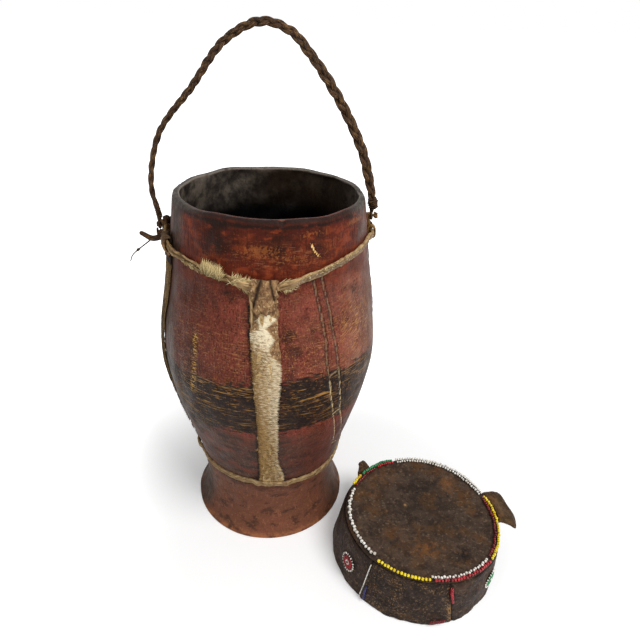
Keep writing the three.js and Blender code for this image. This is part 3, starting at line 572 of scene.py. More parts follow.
def strap_hide():
    """The skin side of a strap: grey-brown and bare where the hair is worn off, dirty tan beneath the hair."""
    made, tree, shader = finish_of("strap_hide", 0.75, 1.45)
    where = places(tree, "lie")
    bare = coats(
        tree, "#7c5b3f",
        ("#a7845c", spots(tree, where, (2.2, 2.2, 3.2), 0.4, 0.66, 3, 5)),
        ("#4c3523", spots(tree, where, (1.4, 1.4, 2.2), 0.5, 0.66, 5), 0.75),
        ("#d9bd8f", spots(tree, where, (0.9, 0.9, 1.8), 0.57, 0.68, 6, 3), 0.7))
    under = coats(
        tree, "#a98a59",
        ("#cdb080", spots(tree, where, (3, 0.7, 0.7), 0.4, 0.62, 7)),
        ("#5e4727", spots(tree, where, (1.6, 1.2, 0.8), 0.52, 0.64, 8), 0.7))
    # Painted shade in a strap's slits, creases and beneath its tail, with dark greased hide and a darker patch
    base = coats(tree, bare, (under, "haired"), ("#1f1510", "shade"))
    tree.links.new(base, shader.inputs["Base Color"])
    relieved(
        tree, shader,
        (0.45, spots(tree, where, (2.0, 2.0, 4), 0.2, 0.8, 13)),
        (0.2, spots(tree, where, (0.6, 0.6, 3), 0.25, 0.75, 17)))
    return made


def hair(name, root, mid, tip):
    """Short stiff animal hair: dull roots, darker partly as painted shade near the skin, and pale, faintly silky
    tips, a little different from tuft to tuft. Where a hair's shade is set it takes the root colour, as
    painted shade.
    """
    made, tree, shader = finish_of(name, 0.6, 1.55, 0.15)
    up = put(tree, "MapRange", {"Value": product(tree, ["along"]), "From Min": 0.05, "From Max": 0.7}, "Result")
    light = put(tree, "Math", {0: product(tree, ["tone"]), 1: product(tree, ["along", 0.5])}, operation="ADD")
    light = put(tree, "MapRange", {"Value": light, "From Min": 0.45, "From Max": 1.1}, "Result")
    # Darker from tip to root, partly painted shade, and whole hairs in the root colour as painted shade
    base = coats(tree, root, (mid, up), (tip, light), (root, "shade"))
    tree.links.new(base, shader.inputs["Base Color"])
    return made


def plait_hide(name, dark, mid, pale):
    """Hide worked soft with fat and plaited: brown with tan fibre ends, and painted shade down between the
    strands.
    """
    made, tree, shader = finish_of(name, 0.5, 1.5, 0.16)
    where = places(tree, "lie")
    base = coats(
        tree, dark,
        (mid, spots(tree, where, (0.6, 0.6, 5), 0.4, 0.6, 3)),
        (pale, spots(tree, where, (0.5, 0.5, 3), 0.53, 0.68, 7, 3), 0.8),
        (pale, spots(tree, places(tree), (7, 7, 7), 0.52, 0.7, 9, 3), 0.45),
        (dark, "shade", 0.9))
    tree.links.new(base, shader.inputs["Base Color"])
    relieved(
        tree, shader,
        (0.3, spots(tree, where, (0.6, 0.6, 6), 0.25, 0.75, 13, 3)),
        (0.2, spots(tree, where, (1.4, 1.4, 2.5), 0.2, 0.8, 17, 3)))
    return made


def cap_leather(name, dark, mid, rust, specks):
    """Old vegetable-tanned leather, dark with fat and smoke, mottled with rust and scuffed pale on its grain."""
    made, tree, shader = finish_of(name, 0.6, 1.5, 0.1)
    where = places(tree)
    base = coats(
        tree, mid,
        (dark, spots(tree, where, (9, 9, 8), 0.4, 0.6, 3, 6, 0.65)),
        (rust, spots(tree, where, (15, 15, 11), 0.5, 0.66, 7, 5), 0.7),
        ("#231b16", spots(tree, where, (3.4, 3.4, 3.4), 0.5, 0.66, 11, 5), 0.6),
        ("#7a6552", spots(tree, where, (2.2, 2.2, 2.2), 0.55, 0.7, 12, 5), 0.5),
        ("#774a22", "rusty", spots(tree, where, (4, 4, 4), 0.36, 0.6, 15, 5, 0.65), 0.55),
        ("#15110f", "inky", spots(tree, where, (4, 4, 4), 0.3, 0.5, 16, 5, 0.65), 0.9),
        ("#a9825a", spots(tree, where, (1.1, 1.1, 1.1), 0.56, 0.66, 13, 3),
         spots(tree, where, (11, 11, 8), 0.42, 0.58, 14, 3), specks),
        ("#a67b49", "flecked", spots(tree, where, (1.1, 1.1, 1.1), 0.57, 0.67, 17, 3), 0.75),
        ("#1c1410", "shade", 0.85),
        ("#ab8255", "scuff"))
    tree.links.new(base, shader.inputs["Base Color"])
    relieved(
        tree, shader,
        (0.6, spots(tree, where, (7, 7, 7), 0.2, 0.8, 19)),
        (0.22, spots(tree, where, (1.4, 1.4, 1.4), 0.25, 0.75, 23)))
    return made


def bead_glass(name, colour, deep):
    """Opaque glass seed beads: glossy, fire-polished, with a slightly deeper colour on some of them."""
    made, tree, shader = finish_of(name, 0.25, 1.52, 0.35)
    base = coats(tree, colour, (deep, "tone"), ("#1e1712", "shade", 0.85))
    tree.links.new(base, shader.inputs["Base Color"])
    return made


WOOD = stained_wood()
BAND_HIDE = rawhide("band_rawhide", "#3f2c19", "#876b48", "#c3a374")
WAIST_HIDE = rawhide("waist_rawhide", "#5c462f", "#8d7250", "#b59a6e")
STRAP_HIDE = strap_hide()
PALE_HAIR = hair("pale_hair", "#72542f", "#bd9860", "#faebca")
BROWN_HAIR = hair("golden_hair", "#26180a", "#52391a", "#7d5d2e")
TUFT_HAIR = hair("tuft_hair", "#523c20", "#a5864f", "#ead7a2")
DARK_HIDE = plait_hide("dark_greased_hide", "#1a0d06", "#3f260f", "#755025")
HANDLE_HIDE = plait_hide("plaited_hide", "#22140a", "#4b331d", "#836139")
THONG_HIDE = plait_hide("tan_thong", "#432a15", "#85602f", "#c59a60")
CAP_TOP_LEATHER = cap_leather("cap_top_leather", "#33271f", "#493a2f", "#56391f", 0.12)
CAP_WALL_LEATHER = cap_leather("cap_wall_leather", "#221a16", "#352a25", "#45301e", 0.45)
CAP_SIDE_LEATHER = cap_leather("cap_side_leather", "#251b16", "#392c26", "#483326", 0.2)
EAR_LEATHER = cap_leather("ear_leather", "#3b2b1a", "#5a4229", "#634020", 0.12)
WHITE_GLASS = bead_glass("white_glass", "#eeeae2", "#c9c1b2")
YELLOW_GLASS = bead_glass("yellow_glass", "#ead01c", "#c49d12")
RED_GLASS = bead_glass("red_glass", "#a9121d", "#6f0d14")
DARK_RED_GLASS = bead_glass("dark_red_glass", "#7a181a", "#4f0e11")
GREEN_GLASS = bead_glass("green_glass", "#2c8a52", "#195c36")
BLUE_GLASS = bead_glass("blue_glass", "#2b2766", "#18163e")


# The wood

def hermite(z, z0, r0, m0, z1, r1, m1):
    """The cubic from radius r0 with slope m0 at z0 to radius r1 with slope m1 at z1."""
    d = z1 - z0
    t = (z - z0) / d
    return r0 + (r1 - r0) * t * t * (3 - 2 * t) + d * (m0 * t * (1 - t) ** 2 - m1 * t * t * (1 - t))


def plain_profile(s):
    """Radius of the outside: flared foot, waist, belly and tapering neck, each a cubic but the straight neck."""
    taper = (MOUTH_RADIUS - NECK_FOOT_RADIUS) / (VESSEL_HEIGHT - NECK_FOOT_HEIGHT)
    s = np.asarray(s, float)
    return np.select(
        [s <= WAIST_HEIGHT, s <= BELLY_HEIGHT, s <= NECK_FOOT_HEIGHT],
        [hermite(s, 0, FOOT_RADIUS, -FOOT_FLARE, WAIST_HEIGHT, WAIST_RADIUS, 0),
         hermite(s, WAIST_HEIGHT, WAIST_RADIUS, 0, BELLY_HEIGHT, BELLY_RADIUS, 0),
         hermite(s, BELLY_HEIGHT, BELLY_RADIUS, 0, NECK_FOOT_HEIGHT, NECK_FOOT_RADIUS, taper)],
        NECK_FOOT_RADIUS + taper * (s - NECK_FOOT_HEIGHT))


GROOVE_HALF = WAIST_BAND_WIDTH / 2 + SEAT_GAP


def profile(s):
    """The plain profile less the waist band's groove, whose sides slope and whose floor is level."""
    rows = WAIST_BAND_HEIGHT + np.array([-GROOVE_HALF - 2.5, -GROOVE_HALF, GROOVE_HALF, GROOVE_HALF + 1])
    return plain_profile(s) - GROOVE_DEPTH * np.interp(s, rows, [0, 1, 1, 0])


def tilted(s, angle):
    """Height s on the wood, raised or lowered near the waist band, which runs slightly uphill to the left and
    is pulled up a little at the front strap."""
    share = smooth(1 - np.abs(s - WAIST_BAND_HEIGHT) / 24)
    rise = WAIST_BAND_RISE * hill(turned(angle - STRAP_FEET["front"]), 17)
    return s + (rise - WAIST_BAND_TILT * np.sin(np.radians(angle))) * share


def relief(angle, z):
    """How far the carved surface stands off the turned one: wide swells and long shallow knife facets."""
    p = around(62.0, angle, z)
    facets = waves(p * np.array([1, 1, 0.4]), 13, 5)
    return 0.16 * waves(p, 46, 3) + 0.06 * facets


def wood_radius(z, angle):
    """Outside radius of the wood at a height and angle, knife facets and all."""
    z, angle = np.broadcast_arrays(np.asarray(z, float), np.asarray(angle, float))
    s = z
    for _ in range(8):
        s = s + z - tilted(s, angle)
    return profile(np.clip(s, 0, VESSEL_HEIGHT)) + relief(angle, z)


def wall_at(z):
    """Thickness of the wall, thinner towards the rim."""
    upper = mix(BELLY_WALL, RIM_WALL, (z - BELLY_HEIGHT) / (VESSEL_HEIGHT - BELLY_HEIGHT))
    lower = mix(LOWER_WALL, BELLY_WALL, np.clip((z - FLOOR_THICKNESS) / (BELLY_HEIGHT - FLOOR_THICKNESS), 0, 1))
    return np.where(z > BELLY_HEIGHT, upper, lower)


def band_top(angle):
    """Upper edge of the black band round the belly."""
    a = turned(angle)
    return 160 + 2.5 * np.sin(np.radians(a * 2 + 20)) - 8 * smooth((a - 45) / 60) - 2 * smooth((-30 - a) / 30)


def band_low(angle):
    """Lower edge of the black band."""
    a = turned(angle)
    return 118 + 2 * np.sin(np.radians(a * 3)) - 14 * smooth((-20 - a) / 35) - 6 * smooth((a - 60) / 60)


def ladder_lines(angle, z):
    """Distance in millimetres from the nearest of the ladder's two side lines, its rungs and its foot mark."""
    a = turned(angle)
    left = np.interp(z, [81, 85, 125, 143, 171, 184, 203, 226], [50.6, 49.5, 37.1, 33.3, 30.0, 30.1, 27.8, 24.0])
    right = np.interp(z, [80, 82, 124, 143, 162, 178, 194, 204, 226],
                      [59, 58.5, 42.5, 39.3, 37.2, 36.1, 33.9, 33.2, 28.7])
    scale = np.radians(1) * plain_profile(z)
    ends = 40 * smooth((z - 226) / 2) + 40 * smooth((84 - z) / 2)
    near = np.minimum(np.abs(a - left), np.abs(a - right)) * scale + ends
    share = (a - left) / (right - left)
    apart = 30 * smooth(np.abs(share - 0.5) - 0.5)
    for z0, z1 in ((159.3, 162.4), (123.4, 125.6)):
        near = np.minimum(near, np.abs(z - mix(z0, z1, share)) + apart)
    foot = np.abs(z - mix(81.5, 77.5, (a - 48.5) / 8.2)) * 0.9 + 30 * smooth(np.abs((a - 52.6) / 8.4) - 0.5)
    return np.minimum(near, foot)


def dab(angle, z, at, height, across, tall, lean=0.0):
    """A rubbed place: an ellipse about its middle, across and tall mm from it to its edge, whose top leans to
    the right. It is 1 well inside, 0.3 at the edge and 0 a little past it."""
    x = turned(angle - at) * np.radians(1) * plain_profile(z) - lean * (z - height)
    return np.clip(1.3 - np.hypot(x / across, (z - height) / tall), 0, 1)


def vessel():
    """The wood as one turned surface: rows of (radius, height) from under the foot, up the outside, over the
    rounded rim and down the inside to the floor. Columns are closer together at the front. A row's kind is 0
    under the foot, 1 outside, 2 and 2.5 on the rim, 3 inside and 4 at the floor. The knife facets, the worn foot
    and the uneven rim move the rows in and out."""
    t = 2 * np.pi * np.arange(292) / 292
    angle = np.degrees(t - 0.36 * np.sin(t))[None, :]
    quarter = np.radians([18, 36, 54, 72, 90])
    up = np.concatenate([np.arange(2.0, 50, 1.25), np.arange(50, 60, 0.62), np.arange(60, 257.8, 1.1)])
    rows = [[r, 0, 0] for r in (2, 20, 40, 56, FOOT_RADIUS - 1)]
    rows += [[FOOT_RADIUS - 1 + 0.75 * math.sin(q), 1 - math.cos(q), 0] for q in quarter]
    rows += [[0, s, 1] for s in up]
    rows += [[MOUTH_RADIUS - RIM_ROUND + RIM_ROUND * math.cos(q),
              VESSEL_HEIGHT - RIM_ROUND + RIM_ROUND * math.sin(q), 2] for q in quarter]
    bore = MOUTH_RADIUS - RIM_WALL
    rows += [[bore + BORE_ROUND - BORE_ROUND * math.sin(q),
              VESSEL_HEIGHT - BORE_ROUND + BORE_ROUND * math.cos(q), 2.5] for q in np.radians([0, 25, 50, 75])]
    rows += [[0, s, 3] for s in np.concatenate([np.arange(258, 200, -2.5), np.arange(198, 31, -6.0)])]
    corner = FLOOR_THICKNESS + FLOOR_CORNER
    corner_radius = float(plain_profile(corner) - wall_at(corner))
    rows += [[corner_radius - FLOOR_CORNER * (1 - math.cos(q)), corner - FLOOR_CORNER * math.sin(q), 4]
             for q in quarter]
    rows += [[r, FLOOR_THICKNESS, 4] for r in (26, 14, 2)]
    r, s, kind = (np.array(c, float)[:, None] for c in zip(*rows))
    outside = (kind == 1) | ((kind == 0) & (s > 0))
    inner = kind == 3
    radius = np.where(kind == 1, profile(s), np.where(inner, plain_profile(s) - wall_at(s), r))
    z = np.where(outside, tilted(s, angle), s + 0 * angle)
    lip = smooth((s - 250) / 9) * (kind >= 1) * (kind <= 3)
    ground = around(60.0, angle, s * 1.0)
    uneven = 0.35 * waves(ground, 34, 11)
    chip = hill(turned(angle - 8.3) * np.radians(1) * 60, 1.7)
    radius = radius + np.where(kind <= 2, relief(angle, z), 0.5 * waves(ground, 22, 12) * inner) * (s > 0.5)
    dented = (kind == 2) & (s > 258) & (r > 58.5)
    radius = radius - (1.1 * chip + 0.25 * np.abs(waves(ground, 9, 13))) * dented
    z = z + lip * (uneven - 1.5 * chip * (radius > 57.5))
    worn_foot = 0.35 * np.abs(waves(ground, 12, 14)) * smooth((3 - s) / 3)
    radius = radius - worn_foot * (kind == 1)
    grid = around(radius, angle, z)
    part = skin(grid, **wood_marks(turned(angle), z, s + 0 * angle, kind + 0 * angle))
    build("carved_vessel", [part], [WOOD], "vessel", ["vessel_body"])


def wood_marks(a, z, s, kind):
    """How much of each mark lies at each place of the wood, by angle, height and kind of row."""
    out, shown = kind <= 2, kind >= 3
    ochre = sum(dab(a, z, *m) * w for m, w in (
        ((-4, 243, 12, 4.5), 0.8), ((12, 239, 9, 3), 0.5), ((35, 243, 5, 5, 0.4), 0.45), ((42, 247, 4, 3), 0.3),
        ((-52, 252, 5, 4), 0.35), ((-12, 251, 8, 2.5), 0.35), ((24, 252, 14, 2.4), 0.5), ((56, 253, 14, 2), 0.75),
        ((-33, 236, 5, 3), 0.35), ((22, 236, 9, 3), 0.4), ((-45, 158, 2.5, 12), 0.45), ((-20, 160, 12, 4), 0.45)))
    nick = np.maximum(dab(a, z, 24.0, 244.6, 0.9, 2.7, -0.5), dab(a, z, 26.2, 240.6, 0.9, 2.9, -0.85))
    smudge = sum(dab(a, z, *m) * w for m, w in (
        ((10.8, 193, 6, 5, 0.2), 0.9), ((14, 182, 7, 7), 0.75), ((11, 168, 5, 8), 0.75), ((-20, 216, 4, 4), 0.85),
        ((-26, 208, 3, 5), 0.6), ((52, 209, 3, 6), 0.8), ((46, 214, 6, 2.5), 0.6), ((33, 214, 6, 5, 0.6), 0.6),
        ((-38.6, 180, 4, 9), 0.9), ((-42, 166, 8, 10), 0.75), ((24, 196, 5, 5), 0.5), ((-8, 200, 4, 12), 0.5),
        ((-48, 205, 4, 12), 0.6), ((-45, 226, 9, 4), 0.5), ((55, 225, 12, 4), 0.5), ((14, 150, 5, 10), 0.7),
        ((-7, 150, 4, 8), 0.6), ((30, 86, 9, 4, 0.5), 0.6), ((-30, 84, 12, 4), 0.5), ((20, 74, 8, 5), 0.6)))
    # Painted shadow and dirt along the front strap's left edge
    beside = turned(a - strap_middle("front", z)) * np.radians(1) * plain_profile(z) - strap_edges("front", z)[0]
    smudge = smudge + 2.2 * hill(beside + 0.6, 1.3) * smooth((216 - z) / 4) * smooth((z - 60) / 10)
    # Soot clouds near the top of the neck, and painted shade in a dark line just under the rim
    gloom = 0.95 * hill(a + 27, 13) + 0.8 * hill(a - 6, 11) + 0.7 * hill(a - 28, 8) + 0.5 * hill(a - 60, 10)
    sooty = gloom * smooth((z - 231) / 12) * (1 - smooth((z - 259) / 1)) + 0.9 * smooth((z - 255) / 1.5)
    worn = smooth((z - 104) / 14) * smooth((234 - z) / 22) * mix(0.3, 1, hill(z - 176, 24))
    worn = worn * (0.75 + 0.25 * smooth((a - 5) / 10))
    worn = worn + 0.55 * hill(z - 240, 7) * hill(a - 6, 30) + 0.2 * smooth((70 - z) / 20)
    before = smooth((150 - np.abs(a)) / 40)
    sides = smooth((np.abs(turned(a - 2)) - 42) / 26) * before
    back = smooth((np.abs(a) - 95) / 40)
    pink = 0.3 * smooth((a - 6) / 8) + 0.7 * smooth((a - 38) / 10)
    # Painted shade on the left side, more on the neck
    left_end = smooth((-46 - a) / 16) * smooth((z - 222) / 14) + 0.9 * smooth((-50 - a) / 16)
    low = smooth((117 - z) / 10) * smooth((z - 44) / 10) * mix(1, 0.55, smooth((a - 8) / 20))
    left_ticks = np.clip(1.5 - np.abs(a + 38.4 - 0.06 * (z - 165)) * 1.25 / 1.9, 0, 1)
    return dict(
        # Painted shade inside: nearly black lower down, darker brown at the right back
        inside=smooth(2 * kind - 5), deep=shown * smooth((246 - s) / 20),
        inner_brown=shown * smooth((np.abs(turned(a - 150)) - 60) / -40),
        rim=(np.floor(kind) == 2) * smooth((np.abs(turned(a - 6)) - 38) / 26),
        rim_dark=np.where(kind == 2, 0.9, 0), rim_line=(kind == 2.5) * smooth((259.95 - s) / 0.1),
        neck=smooth((z - 214) / 16) * out, low=low * out,
        # Painted shade towards the left and right sides of the front
        dusk=(smooth((-6 - a) / 40) + smooth((a - 52) / 22)) * before * out,
        foot=smooth((52 - z) / 8) * out, hem=smooth((5 - z) / 4) * out,
        pink=pink * smooth((z - 120) / 20) * smooth((236 - z) / 14) * out,
        band=np.minimum(band_top(a) - z, z - band_low(a)) * out,
        scratched=(0.55 + 0.45 * hill(z - 150, 12)) * out, worn=np.clip(worn, 0, 1) * out,
        slanted=hill(a - 54, 15) * hill(z - 186, 22) * smooth((a - 36) / 4) * out,
        left_ticks=left_ticks * smooth((z - 141) / 3) * smooth((188 - z) / 3) * out,
        ochre=ochre * out, nick=nick * out, smudge=np.clip(smudge, 0, 1.4) * out,
        sooty=np.clip(sooty, 0, 1) * (kind < 2),
        ladder=np.where(out, ladder_lines(a, z), 40), ladder_dark=smooth((z - 138) / 18) * 0.95 + 0.05,
        ladder_pale=mix(1, 0.22, smooth((z - 146) / 20)),
        # Dust towards the right side and back, partly a painted sheen where the wood turns away on the right
        dust=np.maximum(sides * (a > 0) * (0.85 - 0.25 * smooth((z - 100) / 60)), 0.5 * back) * out,
        ash=np.clip(left_end, 0, 1) * before * out)


# The harness

def neck_band_z(angle):
    """Height of the neck band, which sags where each strap pulls on it, and hangs a little slack either side of
    the front one."""
    z = NECK_BAND_HEIGHT + 0 * angle
    for side, weaker, left, right in (("front", 1, 32, 24), ("right", 5, 18, 18),
                                      ("back", 2, 26, 26), ("left", 6, 18, 18)):
        d = turned(angle - STRAP_ANGLES[side])
        z = z - FRONT_PULL / weaker * np.exp(-(d / np.where(d < 0, left, right)) ** 2)
    slack_at = [-74, -62, -47, -37, -27, -17, -9, 9, 17, 28, 41, 55, 70]
    slack = [0, 2.3, 4.8, 4.0, 2.5, 0.8, 0, 0, 1.2, 3.2, 2.8, 1.4, 0]
    return z - np.interp(turned(angle), slack_at, slack)


def lift(angle, radius, ties):
    """How far a band stands off the wood, where it passes over straps and ties."""
    best = 0 * angle
    ease = 12 if ties else 8
    for at in (*STRAP_ANGLES.values(), *TIE_ANGLES) if ties else STRAP_FEET.values():
        half = (TIE_WIDTH if at in TIE_ANGLES else STRAP_WIDTH) / 2 / np.radians(radius)
        best = np.maximum(best, smooth((half + ease - np.abs(turned(angle - at))) / 7.5))
    return (BAND_LIFT if ties else BAND_LIFT + GROOVE_EASE) * best


def strap_middle(side, z):
    """The angle of a strap's middle line, which turns evenly from its top to its foot."""
    zb = float(neck_band_z(np.array(float(STRAP_ANGLES[side]))))
    return mix(STRAP_ANGLES[side], STRAP_FEET[side], np.clip((zb - z) / (zb - WAIST_BAND_HEIGHT), 0, 1))


def band(height, width, thickness, ties, seed, groove):
    """A strip of hide round the vessel. Its section is a rounded oblong whose width and thickness wander, and
    `groove` gives how deep the fold along its middle is at each angle."""
    angle = np.arange(900)[:, None] * 0.4
    a = 2 * np.pi * np.arange(20)[None] / 20
    ground = around(40.0, angle[:, 0], 0.0)
    half = width / 2 * (1 + 0.09 * waves(ground, 9, seed) + 0.07 * waves(ground, 3, seed + 1))[:, None]
    across = half * np.sign(np.cos(a)) * np.abs(np.cos(a)) ** 0.75
    through = 0.5 + 0.5 * np.sign(np.sin(a)) * np.abs(np.sin(a)) ** 0.6
    middle = height(angle)
    z = middle + across
    off = SEAT_GAP + lift(angle, wood_radius(middle, angle), ties)
    fold = groove(turned(angle)) * hill(across / half - 0.12, 0.22) * (through > 0.5)
    thick = thickness * (1 + 0.08 * waves(ground, 5, seed + 2))[:, None] * (through - fold)
    grid = around(wood_radius(middle, angle) * 0.5 + wood_radius(z, angle) * 0.5 + off + thick, angle, z)
    grey = ties * smooth((turned(angle) - 8) / 10) * smooth((120 - turned(angle)) / 20)
    lie = np.stack(np.broadcast_arrays(across, through * thickness, np.radians(angle) * 66), -1)
    # Random paler places, and a painted highlight along the upper edge of the right part
    tone = 0.1 + 0.4 * waves(ground, 4, seed + 3)[:, None] + grey * (across > 0.25 * half) * 0.6
    return skin(grid, close_rows=True, lie=lie, shade=np.clip(1.4 * fold, 0, 0.9), tone=tone,
                grey=0.85 * grey * (across < 0.5 * half))


def tufts(at, count, spread_angle, z_low, z_high, way, length, seed, off=2.6):
    """Hair left on a band: roots scattered over an angle and a height, all leaning one way."""
    rng = np.random.default_rng(seed)
    angle = at + rng.uniform(-spread_angle, spread_angle, count)
    z = neck_band_z(angle) + rng.uniform(z_low, z_high, count)
    out, on = outward(angle)
    roots = around(wood_radius(z, angle) + off + rng.uniform(-0.5, 0.3, count), angle, z)
    lean = on * (way[0] + rng.normal(0, 0.35, count))[:, None]
    lean = lean + np.array([0, 0, 1.0]) * (way[1] + rng.normal(0, 0.35, count))[:, None]
    size = length * rng.uniform(0.6, 1.25, count)
    return hairs(roots, out, lean, size, rng.uniform(*TUFT_WIDTHS, count), 0.1, rng.uniform(0, 1, count),
                 finish=1)


def neck_band():
    """The rawhide round the foot of the neck: rolled double on its left half, flat on its right, with tufts."""
    strip = band(neck_band_z, NECK_BAND_WIDTH * 0.86, NECK_BAND_THICKNESS, True, 40,
                 lambda a: 0.75 * smooth((-16 - a) / 8) * smooth((a + 120) / 20))
    hairy = [
        tufts(-28, 480, 5.2, -2.2, 1.0, (0.3, 1.0), 7.6, 1),
        tufts(-12.5, 330, 4.8, -2.2, 1.4, (0.6, 0.35), 5.6, 2),
        tufts(-9, 120, 3.0, -2.6, -0.8, (0.5, -0.8), 4.2, 3),
        tufts(8.8, 300, 3.2, -1.6, 2.2, (1.0, -0.05), 4.8, 4),
        tufts(10.0, 40, 2.4, -2.6, -1.2, (0.7, -0.8), 3.2, 7),
        tufts(-41, 90, 9, -1.6, 0.6, (1.0, -0.3), 2.6, 5, 2.2),
        tufts(32, 90, 20, 0.8, 2.0, (1.0, 0.1), 2.2, 6, 2.2),
    ]
    build("neck_rawhide", [strip] + hairy, [BAND_HIDE, TUFT_HAIR], "vessel", ["neck_band"])


def waist_band():
    """The rolled rawhide strip in the groove at the waist."""
    strip = band(lambda a: tilted(WAIST_BAND_HEIGHT, a), WAIST_BAND_WIDTH, WAIST_BAND_THICKNESS, False, 60,
                 lambda a: 0.18 + 0 * a)
    build("waist_rawhide_strip", [strip], [WAIST_HIDE], "vessel", ["waist_band"])


def strap_edges(side, z):
    """Left and right edges of a strap in millimetres from its middle line. The front one is as worn as in the
    photograph, slim at the belly and flared at both ends, and the others are alike."""
    if side == "front":
        shift = np.radians(strap_middle(side, z) - STRAP_ANGLES[side]) * plain_profile(z)
        left = -9.6 + 3.6 * smooth((200 - z) / 90) - 1.0 * smooth((72 - z) / 18)
        right = 6.0 + 1.6 * hill(z - 172, 22) - 0.4 * hill(z - 125, 30) + 5 * smooth((88 - z) / 28)
        return left - shift, right - shift
    wide = 7.2 - 0.8 * hill(z - 120, 45) + 0.8 * smooth((80 - z) / 25)
    return -wide, wide


def hair_edges(z):
    """Where the front strap's hair is not worn off: from a left edge, bare at the top, to a right one with two
    notches, in millimetres from its middle line."""
    left = np.interp(z, [196.5, 197.5, 201.5, 208.5], [-12, -6.2, -5.8, -4.2])
    right = np.interp(z, [172, 174, 178, 182, 187, 192, 199, 205, 207.5, 208.5],
                      [12, 8.2, 5.6, 1.4, 0.3, 4.0, -0.8, 4.8, 0.9, -6])
    return left, right


def strap(side):
    """A hide strap: its line starts at the loose tail outside, turns over the neck band, and runs down the wood
    to its foot under the waist band. It is a flat sleeve of two skins at most 1.5 mm apart, wavy at its edges.
    The front one is slit at its fold and low down, and has a roll of hide along its left edge below the fold."""
    at, foot = STRAP_ANGLES[side], STRAP_FEET[side]
    front = side == "front"
    zb = float(neck_band_z(np.array(float(at))))
    low = SEAT_GAP + HIDE / 2
    high = SEAT_GAP + BAND_LIFT + NECK_BAND_THICKNESS + SEAT_GAP + HIDE / 2
    half = NECK_BAND_WIDTH / 2
    top = zb + half - 0.2
    fold = [(top + 1.4 * math.sin(q), (high + low) / 2 + (high - low) / 2 * math.cos(q))
            for q in np.radians(range(15, 180, 15))]
    tail_off = low + HIDE + SEAT_GAP
    tail = STRAP_TAIL if front else STRAP_TAIL * 0.6
    line = [(zb - tail, tail_off + 0.1), (zb - tail * 0.8, tail_off), (zb - tail * 0.55, tail_off + 0.3),
            (zb - half - 2, high - 1.0), (zb - half, high - 0.1), (top, high)] + fold + [(top, low)]
    end = float(tilted(WAIST_BAND_HEIGHT, foot)) - WAIST_BAND_WIDTH / 2 - 1
    line += [(z, low + GROOVE_EASE * smooth((66 - z) / 4)) for z in np.arange(top - 3, end + 1, -3)]
    line = np.array(line + [(end, low)])
    path = spline(np.column_stack([line, 0 * line[:, 0]]), 240)
    z0, off = path[:, 0][:, None], path[:, 1][:, None]
    run = np.arange(len(z0))[:, None] / len(z0)
    outer_layer = smooth((off - tail_off + 0.8) / 0.6) * (z0 > zb - 16)
    w = np.linspace(-1, 1, 37)[None]
    left, right = strap_edges(side, z0)
    upper = smooth((z0 - zb + 7) / 4)
    if front:
        left, right = left + 0.8 * outer_layer, right - 0.3 * outer_layer
    else:
        left, right = left * mix(1, 0.6, upper), right * mix(1, 0.6, upper)
    x = mix(left, right, (w + 1) / 2) * mix(1.0, 0.94, smooth((zb - z0 - 6) / 8) * outer_layer)
    flat = plane(x, z0 + 300 * run)
    x = x + (0.35 * waves(flat, 9, 70 + int(at) % 7) + 0.25 * waves(flat, 3.2, 71)) * np.abs(w) ** 3
    jag = 0.9 * waves(plane(x, 0), 3.4, 72) + 0.12 * x * front
    jag = jag * smooth((zb - 8 - z0) / 6) * outer_layer
    middle = strap_middle(side, z0)
    angle = middle + x / np.radians(wood_radius(z0, middle))
    follow = smooth((z0 - zb + 22) / 20)
    z = z0 + jag + follow * (neck_band_z(angle) - zb) + tilted(z0, angle) - tilted(z0, middle)
    wide = mix(0.8, 1.4, smooth((z0 - zb + 12) / 8))
    # Slits at the fold, sunk into the hide and darkened with painted shade
    slits = hill(x + 4.8 - 0.28 * (z0 - zb), wide) * smooth((z0 - zb + 14) / 3)
    slits = slits + hill(x - 3.0 - 0.2 * (zb - z0 - 4), 0.7) * smooth((z0 - zb + 9) / 2)
    slits = slits * outer_layer * front
    # Creases low down, sunk a little and darkened with painted shade
    low_slits = hill(x + 2.3 - 0.05 * (z0 - 96), 0.6) * hill(z0 - 100, 9)
    low_slits = low_slits + hill(x - 0.9, 0.45) * hill(z0 - 88, 12)
    low_slits = low_slits + hill(x + 0.6 + 0.1 * (z0 - 66), 0.8) * hill(z0 - 64, 7)
    low_slits = low_slits * (1 - outer_layer) * front
    crown = 0.5 * (1 - w**2) + 0.2 * waves(flat, 6, 75) * (1 - 0.3 * np.abs(w))
    crease = 0.35 * waves(flat * np.array([1.0, 0.35]), 3.4, 76) * smooth((112 - z0) / 20) * (1 - w**2)
    base = wood_radius(z, angle) + off + crown * (1 - 0.7 * (off > tail_off + 0.5))
    base = base - slits - 0.5 * low_slits + crease
    edge = (1 - np.abs(w) ** 6) ** 0.5 * 0.5 + 0.12
    slope = np.gradient(z0[:, 0]), np.gradient(off[:, 0] + wood_radius(z0[:, 0], middle[:, 0]))
    length = np.hypot(*slope)
    nr, nz = (-slope[0] / length)[:, None] * HIDE * edge, (slope[1] / length)[:, None] * HIDE * edge
    grid = np.concatenate([around(base + nr, angle, z + nz), around(base - nr, angle, z - nz)[:, ::-1]], 1)
    both = lambda v: np.concatenate([v, v[:, ::-1]], 1)
    lie = np.stack(np.broadcast_arrays(both(x), 0 * grid[..., 0], 240 * run), -1)
    covered = smooth((zb - 10 - z0) / 3) * (1 - outer_layer) + 0 * x
    if front:
        bare_left, bare_right = hair_edges(z0)
        covered = covered * smooth((x - bare_left + 1) / 1.5) * smooth((bare_right - x + 0.5) / 1.5)
    # Painted shade on the under layer beneath the tail
    under = smooth((zb - 14.5 - z0) / -2) * (1 - outer_layer) * (off < tail_off)
